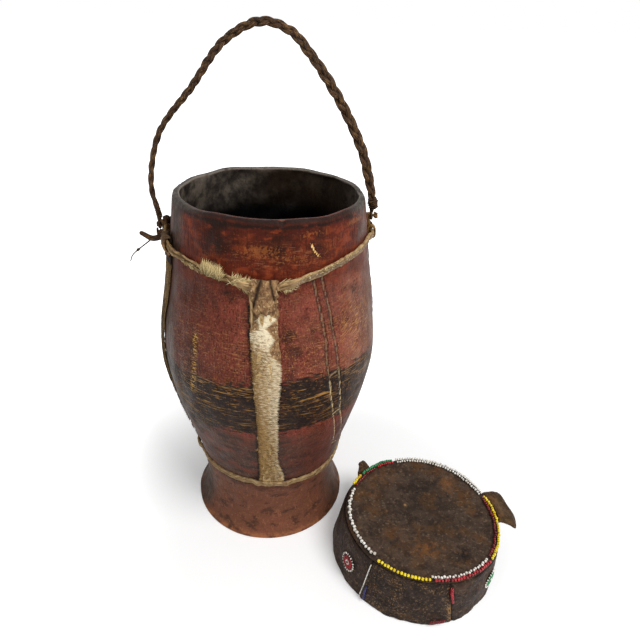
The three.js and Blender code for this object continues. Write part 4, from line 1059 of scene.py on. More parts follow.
    # A darker patch on the left below the fold
    dark_patch = 0.7 * hill(x + 7.4, 1.7) * hill(z0 - 205, 5) * front
    greased = 0.8 * (side in ("right", "back")) * smooth((z0 - zb + 19) / 4)
    greased = greased + (side == "left") * (0.6 * smooth((zb - 5 - z0) / 2) + 0.7 * smooth((z0 - zb + 1) / 3))
    # Painted shade in the slits, the creases and beneath the tail, with greased hide and the darker patch
    shade = np.clip(0.95 * slits + 0.8 * low_slits + 0.75 * under + greased + dark_patch, 0, 1)
    parts = [skin(grid, lie=lie, haired=both(covered), shade=both(shade))]
    if front:
        zr = np.linspace(zb - 2.5, zb - 25, 70)
        xr = strap_edges(side, zr)[0] + 0.5 + 0.25 * waves(plane(zr, 0), 9, 77)
        ar = strap_middle(side, zr) + xr / np.radians(wood_radius(zr, strap_middle(side, zr)))
        zr = zr + smooth((zr - zb + 22) / 20) * (neck_band_z(ar) - zb)
        roll = around(wood_radius(zr, ar) + low + 0.9, ar, zr)
        thick = np.interp(np.arange(70), [0, 8, 50, 69], [0.6, 0.85, 0.7, 0.35])
        parts.append(tube(roll, thick, 9, [0, 1, 0], finish=2, tone=0.9))
    parts.append(strap_hair(side, zb, low))
    hairy = PALE_HAIR if side in ("front", "back") else BROWN_HAIR
    build(side + "_hide_strap", parts, [STRAP_HIDE, hairy, BAND_HIDE], "vessel", [side + "_strap"])


def strap_hair(side, zb, low):
    """The strap's hair: roots scattered from just below the folded tail to the waist band, each hair lying down
    the strap. The front strap's hairs slant to the right and are missing where it is worn or slit. The others'
    lean out at the strap's two edges."""
    rng = np.random.default_rng(100 + len(side))
    front = side == "front"
    count = FRONT_HAIRS if front else SIDE_HAIRS
    z = np.where(np.arange(count) > EVEN_HAIRS, rng.uniform(PATCH_FOOT, zb - 13, count),
                 rng.uniform(58.5, zb - 12.5, count))
    w = rng.uniform(-1, 1, count)
    left, right = strap_edges(side, z)
    x = mix(left, right, (w + 1) / 2) * 0.97 - 1.0 * front
    torn = 0.6 * waves(plane(x, z), 5, 9)
    length = rng.uniform(*HAIR_LENGTHS, count) * np.where(z < 66, 0.6, 1)
    bare_left, bare_right = hair_edges(z)
    bare = (x + 0.72 * length > 0.5 * torn + bare_right) | (x < 0.4 * torn + bare_left)
    bare |= x + 0.5 * length > right + 0.3
    bare |= (np.abs(x + 2.3 - 0.05 * (z - 96)) < 0.9) & (np.abs(z - 100) < 9)
    bare |= (np.abs(x - 0.9) < 0.7) & (np.abs(z - 88) < 12)
    bare |= (waves(plane(x * 1.2, z * 0.8), 3.2, 10) > mix(1.5, 1.05, smooth((120 - z) / 20))) & (z < 180)
    keep = ~(bare & front)
    z, w, x, length = z[keep], w[keep], x[keep], length[keep]
    middle = strap_middle(side, z)
    angle = middle + x / np.radians(wood_radius(z, middle))
    out, on = outward(angle)
    slope = (wood_radius(z - 1.5, angle) - wood_radius(z + 1.5, angle)) / 3
    down = out * slope[:, None] - np.array([0, 0, 1.0])
    swirl = 0.3 * waves(plane(x, z), 11, 5) + rng.normal(0, 0.2, len(z))
    if not front:
        swirl = swirl + np.sign(w) * 0.45 * (np.abs(w) > 0.88)
    roots = around(wood_radius(z, angle) + low + 0.62 * HIDE + 0.5 * (1 - w**2) + 0.1, angle, z)
    clump = waves(plane(x * 0.55, z * 1.5), 2.4, 8)
    tone = 0.42 + 0.12 * clump + 0.34 * w + rng.normal(0, 0.2, len(z)) - 0.36 * smooth((150 - z) / 50)
    tone = tone + 0.6 * smooth((z - 180) / 16) - 0.3 * (not front)
    # Painted shade on hairs in the gaps between clumps
    dark = smooth((clump + 0.45) / -0.6) * (rng.uniform(0, 1, len(z)) > 0.4)
    dark = dark * mix(0.4, 0.95, smooth((165 - z) / 60)) * (1 - smooth((z - PATCH_FOOT) / 8))
    over = 0.9 if front else 0.1
    made = hairs(roots, out, down * (1.1 - over) + on * (over + swirl)[:, None] + out * 0.02, length,
                 rng.uniform(*HAIR_WIDTHS, len(z)), 0.06, np.clip(tone, 0, 1), finish=1)
    made["values"]["shade"] = np.repeat(dark, 7)
    return made


# The ties, the handle and its ends

NECK_LEAN = math.atan((NECK_FOOT_RADIUS - MOUTH_RADIUS) / (VESSEL_HEIGHT - NECK_FOOT_HEIGHT))
TIE_STACK = SEAT_GAP + TIE_THONG + SEAT_GAP + NECK_BAND_THICKNESS + SEAT_GAP + TIE_THONG
LEFT_TIE_Z = float(neck_band_z(np.array(float(TIE_ANGLES[0]))))
RIGHT_TIE_Z = float(neck_band_z(np.array(float(TIE_ANGLES[1]))))
RIGHT_PIN_Z = RIGHT_TIE_Z + RIGHT_STEM_RISE


def face_radius(z):
    """Radius of the plain neck."""
    return float(plain_profile(z))


# The left eye's ring clears the loops on the neck, whose slope it doesn't share
LEFT_REACH = (face_radius(LEFT_TIE_Z) + TIE_STACK + SEAT_GAP + EYE_RADIUS * math.sin(2 * NECK_LEAN) * 0.75
              + EYE_THICKNESS / 2)
RIGHT_REACH = face_radius(RIGHT_PIN_Z) + SEAT_GAP + TIE_THONG + SEAT_GAP + 0.2 + EYE_THICKNESS / 2
LEFT_PIVOT = np.array([-LEFT_REACH, 0, LEFT_TIE_Z])
RIGHT_PIVOT = np.array([RIGHT_REACH, 0, RIGHT_PIN_Z])
HINGE = (RIGHT_PIVOT - LEFT_PIVOT) / np.linalg.norm(RIGHT_PIVOT - LEFT_PIVOT)
HINGE_UP = np.array([-HINGE[2], 0, HINGE[0]])


def arch(count):
    """The handle's line: a curve through twelve places from the left pivot over the top to the right pivot."""
    lx, rx, apex = LEFT_PIVOT[0], RIGHT_PIVOT[0], VESSEL_HEIGHT + HANDLE_RISE
    left, right = LEFT_TIE_Z, RIGHT_PIN_Z
    ends = [(lx - 0.2, left + LEFT_KNOT_RISE), (lx - 2.7, mix(left, apex, 0.215)),
            (lx * 0.925, mix(left, apex, 0.48)), (lx * 0.63, mix(left, apex, 0.705)),
            (lx * 0.34, mix(left, apex, 0.92)), (lx * 0.062, apex),
            (rx * 0.165, mix(right, apex, 0.963)), (rx * 0.322, mix(right, apex, 0.876)),
            (rx * 0.61, mix(right, apex, 0.65)), (rx * 0.843, mix(right, apex, 0.4)),
            (rx * 0.968, mix(right, apex, 0.17)), (rx + 0.3, right + RIGHT_COLLAR_RISE)]
    return spline([(x, 0, z) for x, z in ends], count)


def plait_width(t):
    """Width of the plait along its length, a little thinner at the left than at the right."""
    left, top, right = PLAIT_WIDTHS[0] * LEFT_FULLNESS, PLAIT_WIDTHS[1], PLAIT_WIDTHS[2]
    rise = mix(left, top, smooth((t - 0.1) / 0.4))
    fall = mix(mix(top, right, smooth((t - 0.5) / 0.25)), right * 0.74, smooth((t - 0.94) / 0.06))
    return np.where(t < 0.5, rise, fall)


def strand(k, name):
    """One of three interlaced strands. Across the plait it runs as sin(phase) and through it as
    sin(2 phase), a third of a turn after the one before. Its section is a flattened oval with fibre ridges."""
    count = 1500
    t = np.linspace(0, 1, count)
    line = arch(count)
    length = np.linalg.norm(np.diff(line, axis=0), axis=1).sum()
    pitch = PLAIT_PITCH * (1 + LEFT_STRETCH * smooth(1 - t[1:] / 0.35)) * plait_width(t[1:])
    turns = np.concatenate([[0], np.cumsum(length / (count - 1) / pitch)])
    phase = 2 * np.pi * (turns + k / 3)
    width = plait_width(t)
    ahead = unit(np.gradient(line, axis=0))
    flat = np.array([0, 1.0, 0])
    side = unit(np.cross(flat, ahead))
    wobble = 1 + 0.06 * waves(plane(turns * 3, 0), 2.2, 80 + k)
    slack = np.interp(t, [0, 0.25, 0.5, 1], [0.17, 0.2, 0.255, 0.27])
    centre = line + side * (slack * width * wobble * np.sin(phase))[:, None]
    centre = centre + flat * (STRAND_SWAY * width * np.sin(2 * phase))[:, None]
    along = unit(np.gradient(centre, axis=0))
    u = unit(np.cross(flat, along))
    v = np.cross(along, u)
    a = 2 * np.pi * np.arange(14)[None] / 14
    ground = np.stack(np.broadcast_arrays(np.cos(a) * 2, np.sin(a) * 2, 9 * turns[:, None]), -1)
    ridges = 1 + 0.05 * np.cos(5 * a + 2 * turns[:, None]) + 0.05 * waves(ground, 3, 90 + k)
    wide = STRAND_HALF_WIDTH * width[:, None] * ridges
    deep = STRAND_HALF_DEPTH * width[:, None] * ridges
    across, through = wide * np.cos(a), deep * np.sin(a)
    grid = centre[:, None] + across[..., None] * u[:, None] + through[..., None] * v[:, None]
    lie = np.stack(np.broadcast_arrays(across, through + 20 * k, travelled(centre)[:, None]), -1)
    # Painted shade where the strand runs down inside the plait
    distance = np.linalg.norm(grid - line[:, None], axis=-1) / width[:, None]
    shade = smooth((0.33 - distance) / 0.14)
    build("plaited_strand_" + name, [skin(grid, lie=lie, shade=shade)], [HANDLE_HIDE], "handle",
          ["plait_strand_" + name])


def coil(centre, axis, start, end, radius, thong, turns, seed):
    """A thong wound round an axis: a helix from start to end along it, with uneven turns."""
    axis = unit(np.asarray(axis, float))
    u = unit(np.cross(axis, [0, 1, 0.01]))
    v = np.cross(axis, u)
    t = np.linspace(0, 1, int(40 * turns))
    a = 2 * np.pi * turns * t
    r = np.interp(t, np.linspace(0, 1, len(radius)), radius)
    r = r * (1 + 0.06 * np.sin(3.3 * a + seed) + 0.06 * np.sin(1.7 * a + 2 * seed))
    path = centre + axis * mix(start, end, t)[:, None]
    path = path + u * (r * np.cos(a))[:, None] + v * (r * np.sin(a))[:, None]
    return tube(path, thong * (1 + 0.12 * np.sin(5 * a + seed)), 9, axis, flat=0.8)


def oval(centre, radii, seed, rough=0.06):
    """A lump: a ball of the three radii, dented by waves."""
    t, a = np.meshgrid(np.linspace(0.06, math.pi - 0.06, 18), 2 * np.pi * np.arange(24) / 24, indexing="ij")
    ball = np.stack([np.sin(t) * np.cos(a), np.sin(t) * np.sin(a), np.cos(t)], -1)
    ball = ball * (1 + rough * waves(ball, 1.1, seed))[..., None]
    return skin(ball * np.asarray(radii) + centre, lie=ball * np.asarray(radii))


def band_loops(side, z, turns, seed):
    """A thong wound round the neck band: rounded oblong loops that step sideways, in the neck's own slope."""
    t = np.linspace(0, 1, int(60 * turns))
    a = 2 * np.pi * turns * t
    half = NECK_BAND_WIDTH / 2 + SEAT_GAP + 0.9
    squareness = lambda c: np.sign(c) * np.abs(c) ** 0.55
    mid, reach = TIE_STACK / 2, TIE_STACK / 2 - 0.75
    out = mid + reach * squareness(np.cos(a))
    up = (half + 0.3) * squareness(np.sin(a))
    y = mix(-TIE_WIDTH / 2 + 0.8, TIE_WIDTH / 2 - 0.8, t) + 0.2 * np.sin(2.3 * a + seed)
    x = face_radius(z) + out - math.tan(NECK_LEAN) * up
    path = np.stack([side * x, side * y, z + up], -1)
    return tube(path, 0.8, 9, [0, 1, 0], flat=0.9)


def ties():
    """Both ties: the loops on the neck band, the pin with its knot outside the eye, and their loose ends. The
    left one is also a mass of knots beside and below the eye, with a stub and a long fibre sticking out."""
    across = [0, 1, 0]
    knob = LEFT_PIVOT - HINGE * (EYE_THICKNESS / 2 + SEAT_GAP + 0.3)
    inner = LEFT_PIVOT + HINGE * (EYE_THICKNESS / 2 + SEAT_GAP + 2.3)
    low = LEFT_PIVOT + np.array([-0.6, -0.8, -6.6])
    stub = spline([low + [1.4, -0.6, -1.0], low + [-1.6, -1, -2.4], low + [-5.0, -1.6, -2.6],
                   low + [-10.2, -2, 0.4], low + [-12.4, -2, 1.6]], 50)
    fibre = spline([stub[22], low + [-7.2, -1.4, -4.8], low + [-11.5, -1.5, -8.2], low + [-15.4, -1.6, -11.4],
                    low + [-19.2, -1.6, -15.2], low + [-21.0, -1.6, -19.4]], 60)
    twist = spline([inner + [-1.0, -2.8, 4], inner + [0, -3.6, 0], inner + [-0.8, -3.2, -4],
                    low + [1.6, -1.4, -2]], 40)
    t = np.linspace(0, 1, 60)
    parts = [
        band_loops(-1, LEFT_TIE_Z, 3, 1),
        tube(np.linspace(LEFT_PIVOT + HINGE * 2.2, knob, 8), PIN_RADIUS * 0.95, 10, across),
        coil(low + [1.0, 0, 0], [1, 0, 0.25], -1.8, 3.0, [1.6, 2.3, 2.3, 2.0], 0.9, 4.5, seed=6),
        oval(LEFT_PIVOT + [-1.85, -0.4, -4.6], (0.6, 1.8, 2.4), 10),
        oval(LEFT_PIVOT + [0.4, -0.4, -5.7], (2.4, 2.0, 1.5), 13),
        oval(knob, (0.5, 1.6, 1.8), 3), oval(low + [1.0, 0, 0], (2.4, 2.2, 2.4), 4),
        coil(inner + [0, -1.6, 0], HINGE, -0.6, 2.0, [2.4, 3.0, 2.6], 0.95, 3.5, seed=5),
        oval(inner + [0.9, -0.6, -5.6], (3.0, 2.8, 3.0), 8), oval(inner + [1.2, -0.4, 3.2], (2.6, 2.8, 2.8), 9),
        oval(inner + [1.6, -3.4, -1.6], (1.9, 1.3, 3.6), 11),
        tube(twist, 1.2, 10, [1, 0, 0]),
        tube(stub, np.interp(np.linspace(0, 1, 50), [0, 0.5, 0.93, 1], [2.2, 1.9, 1.5, 0.8]), 10, across),
        tube(fibre, 0.5 + 0.6 * hill(t - 0.55, 0.05) - 0.16 * t, 6, across),
    ]
    build("left_tie_thong", parts, [DARK_HIDE], "vessel", ["left_tie"])
    knob = RIGHT_PIVOT + HINGE * (EYE_THICKNESS / 2 + SEAT_GAP + 1.6)
    rise = np.linspace(-3, 13, 40)
    stem = np.stack([face_radius(RIGHT_TIE_Z) + SEAT_GAP + 0.8 - math.tan(NECK_LEAN) * rise,
                     0.3 * np.sin(np.linspace(0, 5, 40)), RIGHT_TIE_Z + rise], -1)
    parts = [
        band_loops(1, RIGHT_TIE_Z, 3, 2), tube(stem, 1.45, 12, across, flat=0.5),
        tube(np.linspace(RIGHT_PIVOT - HINGE * 1.9, knob, 8), PIN_RADIUS * 0.95, 10, across),
        oval(knob, (1.5, 1.9, 2.1), 5, 0.1),
    ]
    build("right_tie_thong", parts, [THONG_HIDE], "vessel", ["right_tie"])


def eye(pivot, thong):
    """A thong bent into an eye round a pin: a ring about the hinge, thicker across than along it."""
    t = np.linspace(0, 2 * np.pi, 61)
    r = EYE_HOLE + thong
    path = pivot + r * (np.cos(t)[:, None] * np.array([0, 1.0, 0]) + np.sin(t)[:, None] * HINGE_UP)
    return tube(path, thong, 10, HINGE)


def handle_ends():
    """The pieces that bind the plait's two ends: an eye on the pin, a short twisted neck and a wound body."""
    line = arch(400)
    floor_left, floor_right = line[0], line[-1]
    rise = np.linspace(0, 1, 30)[:, None]
    neck = lambda pivot, base, floor, radii: tube(
        pivot + np.array(base) * (1 - rise) + (floor - pivot) * rise, np.interp(rise[:, 0], [0, 1], radii), 12,
        [0, 1, 0])
    left = [
        eye(LEFT_PIVOT, 0.95), neck(LEFT_PIVOT, [0.1, 0, 2.2], floor_left, [1.3, 1.7]),
        coil(floor_left, line[12] - floor_left, -4.4, 2.6, [1.0, 1.35, 1.4, 1.3, 1.2], 0.62, 5.5, seed=2),
        oval(floor_left, (1.5, 1.6, 3.4), 7), oval(LEFT_PIVOT + [0.3, 0, 6.2], (1.2, 1.5, 2.4), 12),
    ]
    build("left_knot_hide", left, [DARK_HIDE], "handle", ["left_end_knot"])
    right = [
        eye(RIGHT_PIVOT, 0.9), neck(RIGHT_PIVOT, [0, 0, 2.2], floor_right, [1.2, 2.2]),
        coil(floor_right, line[-12] - floor_right, -3.8, 3.2, [2.0, 2.6, 2.7, 2.6, 2.3], 0.7, 5.5, seed=4),
        oval(floor_right, (2.5, 2.5, 3.4), 9),
    ]
    build("right_collar_thong", right, [HANDLE_HIDE], "handle", ["right_end_thong"])


# The cap

CAP_EDGE = CAP_TOP_RADIUS - 0.2


def cap_dish(r):
    """Height of the sagging top, a parabola that is lowest in the middle."""
    return CAP_HEIGHT - CAP_SAG * (1 - (r / CAP_EDGE) ** 2)


WALL_TOP = float(cap_dish(CAP_TOP_RADIUS - CAP_LEATHER)) - CAP_LEATHER - SEAT_GAP


def cap_radius(z):
    """Outside radius of the wall, a straight taper."""
    return mix(CAP_BASE_RADIUS, CAP_TOP_RADIUS, z / CAP_HEIGHT)


def edge_stray(azimuth):
    """How far the cap's edge stands out of a true circle, drawn in most where the wall's seams pull on it."""
    at = [-180, -160, -140, -135, -96, -73, -47, -18, 17, 50, 89, 104, 111, 136, 151, 180]
    by = [1.05, 0.87, 0.8, 0.5, -0.2, 0.7, 1.0, -0.6, -2.4, -1.2, -1.3, -1.9, -0.8, -0.6, 0.0, 1.05]
    return np.interp(turned(azimuth), at, by)


def on_cap(radius, azimuth, z):
    """A point on the cap, whose axis leans as it rises and whose hem is slightly oval."""
    a, share = np.radians(azimuth), z / CAP_HEIGHT
    oval = CAP_OVAL * (1 - share)
    x = CAP_X + CAP_LEAN[0] * share + (radius - oval) * np.cos(a)
    y = CAP_Y + CAP_LEAN[1] * share + (radius + oval) * np.sin(a)
    return np.stack(np.broadcast_arrays(x, y, z), -1).astype(float)


# Stains on the cap's top: place, half width, half depth and strength
RUST = ((141.5, -41.9, 6, 10, 1.1), (114, -100, 11, 7, 1.3), (89, -33, 11, 8, 0.7), (80, -50, 8, 9, 0.5),
        (92, -92, 9, 10, 0.35))
INK = ((137, -105, 6, 6, 1.2), (121, -47, 14, 11, 0.75), (127, -75, 12, 14, 0.55), (105, -65, 14, 12, 0.35))


def cap_top():
    """The leather disc: its upper face follows the dish with soft sags and creases, and its edge is rounded."""
    azimuth = np.arange(240)[None] * 1.5
    ups = np.linspace(1, CAP_EDGE - 0.6, 46)[:, None]
    a = np.radians(azimuth)
    edge = np.radians([30, 60, 90, 120, 150])[:, None]
    radius = np.concatenate([ups, CAP_EDGE - 0.6 + 0.6 * np.sin(edge),
                             np.linspace(CAP_EDGE - 0.6, 1, 12)[:, None]])
    level = np.concatenate([0 * ups, -0.8 + 0.8 * np.cos(edge), np.full((12, 1), -CAP_LEATHER)])
    flat = plane(radius * np.cos(a), radius * np.sin(a))
    soft = 0.32 * waves(flat, 34, 200) + 0.14 * waves(flat, 9, 201)
    z = cap_dish(radius) + level + soft * smooth((CAP_EDGE - radius) / 8 + 0.2)
    stray = edge_stray(azimuth) * smooth((radius - 30) / 24)
    grid = on_cap(radius + stray, azimuth, np.full_like(z, CAP_HEIGHT))
    grid[..., 2] = z
    scuff = hill(np.linalg.norm(grid - on_cap(14.0, 139.0, 37.0), axis=-1), 0.9) * (level > -0.5)
    stain = lambda *marks: sum(w * hill(np.hypot((grid[..., 0] - x) / across, (grid[..., 1] - y) / deep), 1)
                               for x, y, across, deep, w in marks)
    part = skin(grid, shade=0.45 * smooth((radius - 50.5) / 3) * (level > -0.5) + 0 * azimuth, scuff=scuff,
                rusty=stain(*RUST), inky=stain(*INK))
    build("cap_top_hide", [part], [CAP_TOP_LEATHER], "cap", ["cap_top"])


SEAMS = {"front_left": (-138, -137), "front_right": (-74.8, -83), "right_back": (17, 17), "back_left": (131, 131)}


def panel(name, start, end, made, seed):
    """A piece of the cap's wall: a closed slab between two seams, slightly full at half height, with a worn
    hem and edges turned in at the seams."""
    span = [(b - a) % 360 for a, b in zip(start, end)]
    cols = max(60, int(span[0] * 1.6))
    u = np.linspace(0, 1, cols)[:, None]
    v = np.concatenate([np.linspace(0, 1, 26), [1.0], np.linspace(1, 0, 26), [0.0]])[None]
    depth = np.concatenate([np.zeros(26), [0.5], np.ones(26), [0.5]])[None]
    z0 = v * WALL_TOP
    gap = SEAT_GAP / 2 / np.radians(cap_radius(z0))
    first = mix(start[0], start[1], z0 / CAP_HEIGHT) + gap
    last = mix(start[0] + span[0], start[1] + span[1], z0 / CAP_HEIGHT) - gap
    azimuth = mix(first, last, u)
    ground = on_cap(60.0, azimuth, z0)
    edge = hill(u, 0.012) + hill(1 - u, 0.012)
    full = 0.7 * np.sin(np.pi * np.clip(v, 0, 1))
    full = full + 0.3 * waves(ground, 24, seed) + 0.1 * waves(ground, 6, seed + 1)
    full = full - 0.45 * edge + edge_stray(azimuth) * smooth(v * 1.15 - 0.15)
    hem = 0.5 * np.abs(waves(ground[..., :2], 15, seed + 2)) * smooth((4 - z0) / 4)
    round_edge = 0.25 * ((v > 0.999) | (v < 0.001)) * (np.abs(depth - 0.5) > 0.4)
    z = z0 + hem - round_edge * np.sign(v - 0.5)
    radius = cap_radius(z0) + full * (1 - 0.35 * depth) - depth * CAP_LEATHER
    shade = np.clip(0.7 * edge + 0.6 * smooth((z0 - WALL_TOP + 3) / 3), 0, 1)
    holes = np.zeros_like(z)
    if name == "cap_front_panel":
        zc = 3.5 + 2.7 * np.arange(7)
        seam = mix(SEAMS["front_right"][0], SEAMS["front_right"][1], zc / CAP_HEIGHT)
        face = on_cap(cap_radius(z0) + 0.4, azimuth, z0)
        for at, height in zip(seam - 1.4, zc):
            away = np.linalg.norm(face - on_cap(cap_radius(height) + 0.4, at, height), axis=-1)
            holes = holes + 1.1 * hill(away - 0.95, 0.35) - 2.4 * hill(away, 0.6)
    scuff, shade = np.clip(0.8 * holes, 0, 0.8), np.clip(shade + np.clip(-holes, 0, 1), 0, 1)
    flecked = np.maximum(np.maximum(hill(1 - u, 0.09), 0.6 * hill(u, 0.05)),
                         np.maximum(0.5 * smooth((13 - z0) / 8), 0.5 * smooth((z0 - 28) / 6)))
    part = skin(on_cap(radius, azimuth, z), shade=shade, scuff=scuff,
                flecked=flecked * (name == "cap_front_panel"))
    build(name + "_hide", [part], [made], "cap", [name])


def ear(name, azimuth, width, reach, tip, droop, lean, made):
    """A tab of leather: a slab whose root lies flat on the wall and whose free end bends out, droops a little,
    narrows to a share of its width and is drawn sideways by `lean` millimetres."""
    off = SEAT_GAP + CAP_LEATHER / 2 + 0.1
    bend = WALL_TOP - 3
    edge_at = cap_radius(bend) + off
    line = np.array([
        (cap_radius(bend - 9) + off, bend - 9), (cap_radius(bend - 5) + off, bend - 5),
        (cap_radius(bend - 2) + off + 0.1, bend - 2), (edge_at + 1.0, bend - 0.3), (edge_at + 3.2, bend + 0.6),
        (edge_at + reach * 0.6, bend + 0.6 - droop * 0.4), (edge_at + reach, bend + 0.6 - droop)])
    path = spline(np.column_stack([line, 0 * line[:, 0]]), 60)
    p = np.linspace(0, 1, 60)[:, None]
    w = np.linspace(-1, 1, 29)[None]
    free = smooth((p - 0.5) / 0.5)
    corner = 0.07 * np.abs(w) ** 6
    share = np.clip(p * (1 - corner), 0, 1) * 59
    r = np.interp(share, np.arange(60), path[:, 0]) + edge_stray(azimuth) * smooth(p * 2)
    z = np.interp(share, np.arange(60), path[:, 1])
    x = w * width / 2 * mix(mix(0.86, 1.0, smooth(p * 3)), tip, free) + lean * free
    angle = azimuth + x / np.radians(cap_radius(bend))
    curl = 0.6 * waves(plane(x, p * 30), 14, 300) * smooth((p - 0.4) / 0.5)
    edge = (1 - np.abs(w) ** 8) ** 0.5 * 0.5 + 0.08
    dr, dz = np.gradient(path[:, 0])[:, None], np.gradient(path[:, 1])[:, None]
    size = np.hypot(dr, dz)
    thick = CAP_LEATHER * edge * mix(1, 0.7, smooth((p - 0.93) / 0.07))
    upper = on_cap(r + dz / size * thick, angle, z + dr / size * thick + curl)
    lower = on_cap(r - dz / size * thick, angle, z - dr / size * thick + curl)
    grid = np.concatenate([upper, lower[:, ::-1]], 1)
    rubbed = 0 * w + 0.3 * smooth((p - 0.94) / 0.06)
    part = skin(grid, shade=np.concatenate([rubbed, rubbed[:, ::-1]], 1), scuff=0)
    build(name + "_tab", [part], [made], "cap", [name])


# The beads

def beads(centres, ways, size, seed, finish=0, flat=0.9, tilt=0.16):
    """Glass seed beads: rounded rings on their thread. A bead's section round its hole is an oval, and each
    bead is turned a little and is a little larger or smaller than the next."""
    rng = np.random.default_rng(seed)
    n = len(centres)
    ways = unit(ways + rng.normal(0, tilt, (n, 3)))
    u = unit(np.cross(ways, np.array([0.13, 0.21, 1.0])))
    v = np.cross(ways, u)
    a, b = np.meshgrid(2 * np.pi * np.arange(12) / 12, 2 * np.pi * np.arange(7) / 7, indexing="ij")
    ring = 0.6 + 0.4 * np.cos(b)
    local = np.stack([ring * np.cos(a), ring * np.sin(a), flat * 0.95 * np.sin(b)], -1).reshape(-1, 3)
    scale = (size * rng.uniform(0.88, 1.1, n))[:, None, None]
    turned_to = sum(local[:, k, None] * axis[:, None] for k, axis in enumerate((u, v, ways)))
    points = centres[:, None] + scale * turned_to
    faces = net(12, 7, True, True)
    if enclosed(points[0] - points[0].mean(0), [faces]) < 0:
        faces = faces[:, ::-1]
    faces = (np.arange(n)[:, None, None] * len(local) + faces[None]).reshape(-1, 4)
    hole = np.tile(smooth((0.42 - np.hypot(local[:, 0], local[:, 1])) / 0.2), n)
    return {"points": points.reshape(-1, 3), "faces": [faces], "finish": finish,
            "values": {"tone": np.repeat(rng.uniform(0, 1, n) ** 2, len(local)), "shade": hole}}


def edge_row(name, node, start, end, row, made, seed, zigzag, pitch, grown):
    """Beads sewn along the cap's edge, each on the arc of its row, with a small stray in and out. A zigzag row's
    beads stand in and out by turns, and turn with it. Grown is their size against the plain bead's."""
    radius = CAP_TOP_RADIUS - BEAD_RADIUS - row * BEAD_PITCH
    span = (end - start) % 360
    n = int(round(math.radians(span) * radius / pitch))
    t = (np.arange(n) + 0.5) / n
    rng = np.random.default_rng(seed)
    azimuth = start + span * t + rng.normal(0, 0.12, n)
    r = radius + edge_stray(azimuth) + zigzag * np.where(np.arange(n) % 2, 1, -1) + rng.normal(0, 0.16, n)
    centres = on_cap(r, azimuth, np.full(n, float(CAP_HEIGHT)))
    centres[:, 2] = cap_dish(radius + BEAD_RADIUS) + SEAT_GAP + BEAD_RADIUS + rng.normal(0, 0.1, n)
    a = np.radians(azimuth)
    ways = np.stack([-np.sin(a), np.cos(a), 0 * a], -1)
    if zigzag:
        turn = 0.5 * np.where(np.arange(n) % 2, 1, -1)
        ways = ways + np.stack([np.cos(a), np.sin(a), 0 * a], -1) * turn[:, None]
    build(name, [beads(centres, ways, BEAD_RADIUS * 1.04 * grown, seed)], [made], "cap", [node])


def wall_row(name, node, places_at, made, seed, size, apart, rows):
    """Beads sewn on the wall along a line of azimuths and heights, in one row or in two side by side, and each
    `apart` times their radius from the next."""
    start, end, z0, z1 = places_at
    ends = on_cap(cap_radius(z0), start, z0), on_cap(cap_radius(z1), end, z1)
    n = max(3, int(round(np.linalg.norm(ends[1] - ends[0]) / (size * apart))))
    along = unit(ends[1] - ends[0])
    t = np.tile((np.arange(n) + 0.5) / n, rows) + np.repeat(np.arange(rows), n) * 0.5 / n
    shift = (np.repeat(np.arange(rows), n) - (rows - 1) / 2) * size * 1.9
    rng = np.random.default_rng(seed)
    azimuth, z = mix(start, end, t), mix(z0, z1, t)
    steep = abs(z1 - z0) > abs(end - start)
    stray = rng.normal(0, 0.14 * size, len(t))
    azimuth = azimuth + np.degrees((shift + stray) / CAP_BASE_RADIUS) * steep
    z = z + (shift + stray) * (not steep)
    radius = cap_radius(z) + SEAT_GAP + size + 0.35 + edge_stray(azimuth) * smooth(z / WALL_TOP * 1.15 - 0.15)
    ways = np.broadcast_to(along, (len(t), 3))
    build(name, [beads(on_cap(radius, azimuth, z), ways, size, seed, tilt=0.25)], [made], "cap", [node])


def rosette(name, node, azimuth, z, rings, finishes, seed):
    """A round of small beads sewn in rings that lie on the wall's curve. A ring is its radius, its beads' size,
    their finish, and 0 where they follow the ring or 1 where they point outwards with gaps between them."""
    a, slope = math.radians(azimuth), math.atan((CAP_BASE_RADIUS - CAP_TOP_RADIUS) / CAP_HEIGHT)
    out = np.array([math.cos(a) * math.cos(slope), math.sin(a) * math.cos(slope), math.sin(slope)])
    on = np.array([-math.sin(a), math.cos(a), 0])
    up = np.cross(out, on)
    parts = []
    for k, (r, size, finish, pointed) in enumerate(rings):
        n = max(1, int(round(2 * math.pi * r / ((4.0 if pointed else 1.85) * size))))
        t = 2 * np.pi * (np.arange(n) + 0.4 * k) / n
        x, y = r * np.cos(t), r * np.sin(t)
        zc = z + y * math.cos(slope)
        azimuths = azimuth + np.degrees(x / cap_radius(zc))
        stray = edge_stray(azimuths) * smooth(zc / WALL_TOP * 1.15 - 0.15)
        centres = on_cap(cap_radius(zc) + SEAT_GAP + size + 0.45 + stray, azimuths, zc)
        spokes = np.cos(t)[:, None] * on + np.sin(t)[:, None] * up
        follow = -np.sin(t)[:, None] * on + np.cos(t)[:, None] * up
        ways = out[None] if r == 0 else (spokes if pointed else follow)
        parts.append(beads(centres, ways, size, seed + k, finish=finish, flat=1.3 if pointed else 0.85, tilt=0.1))
    build(name, parts, finishes, "cap", [node])


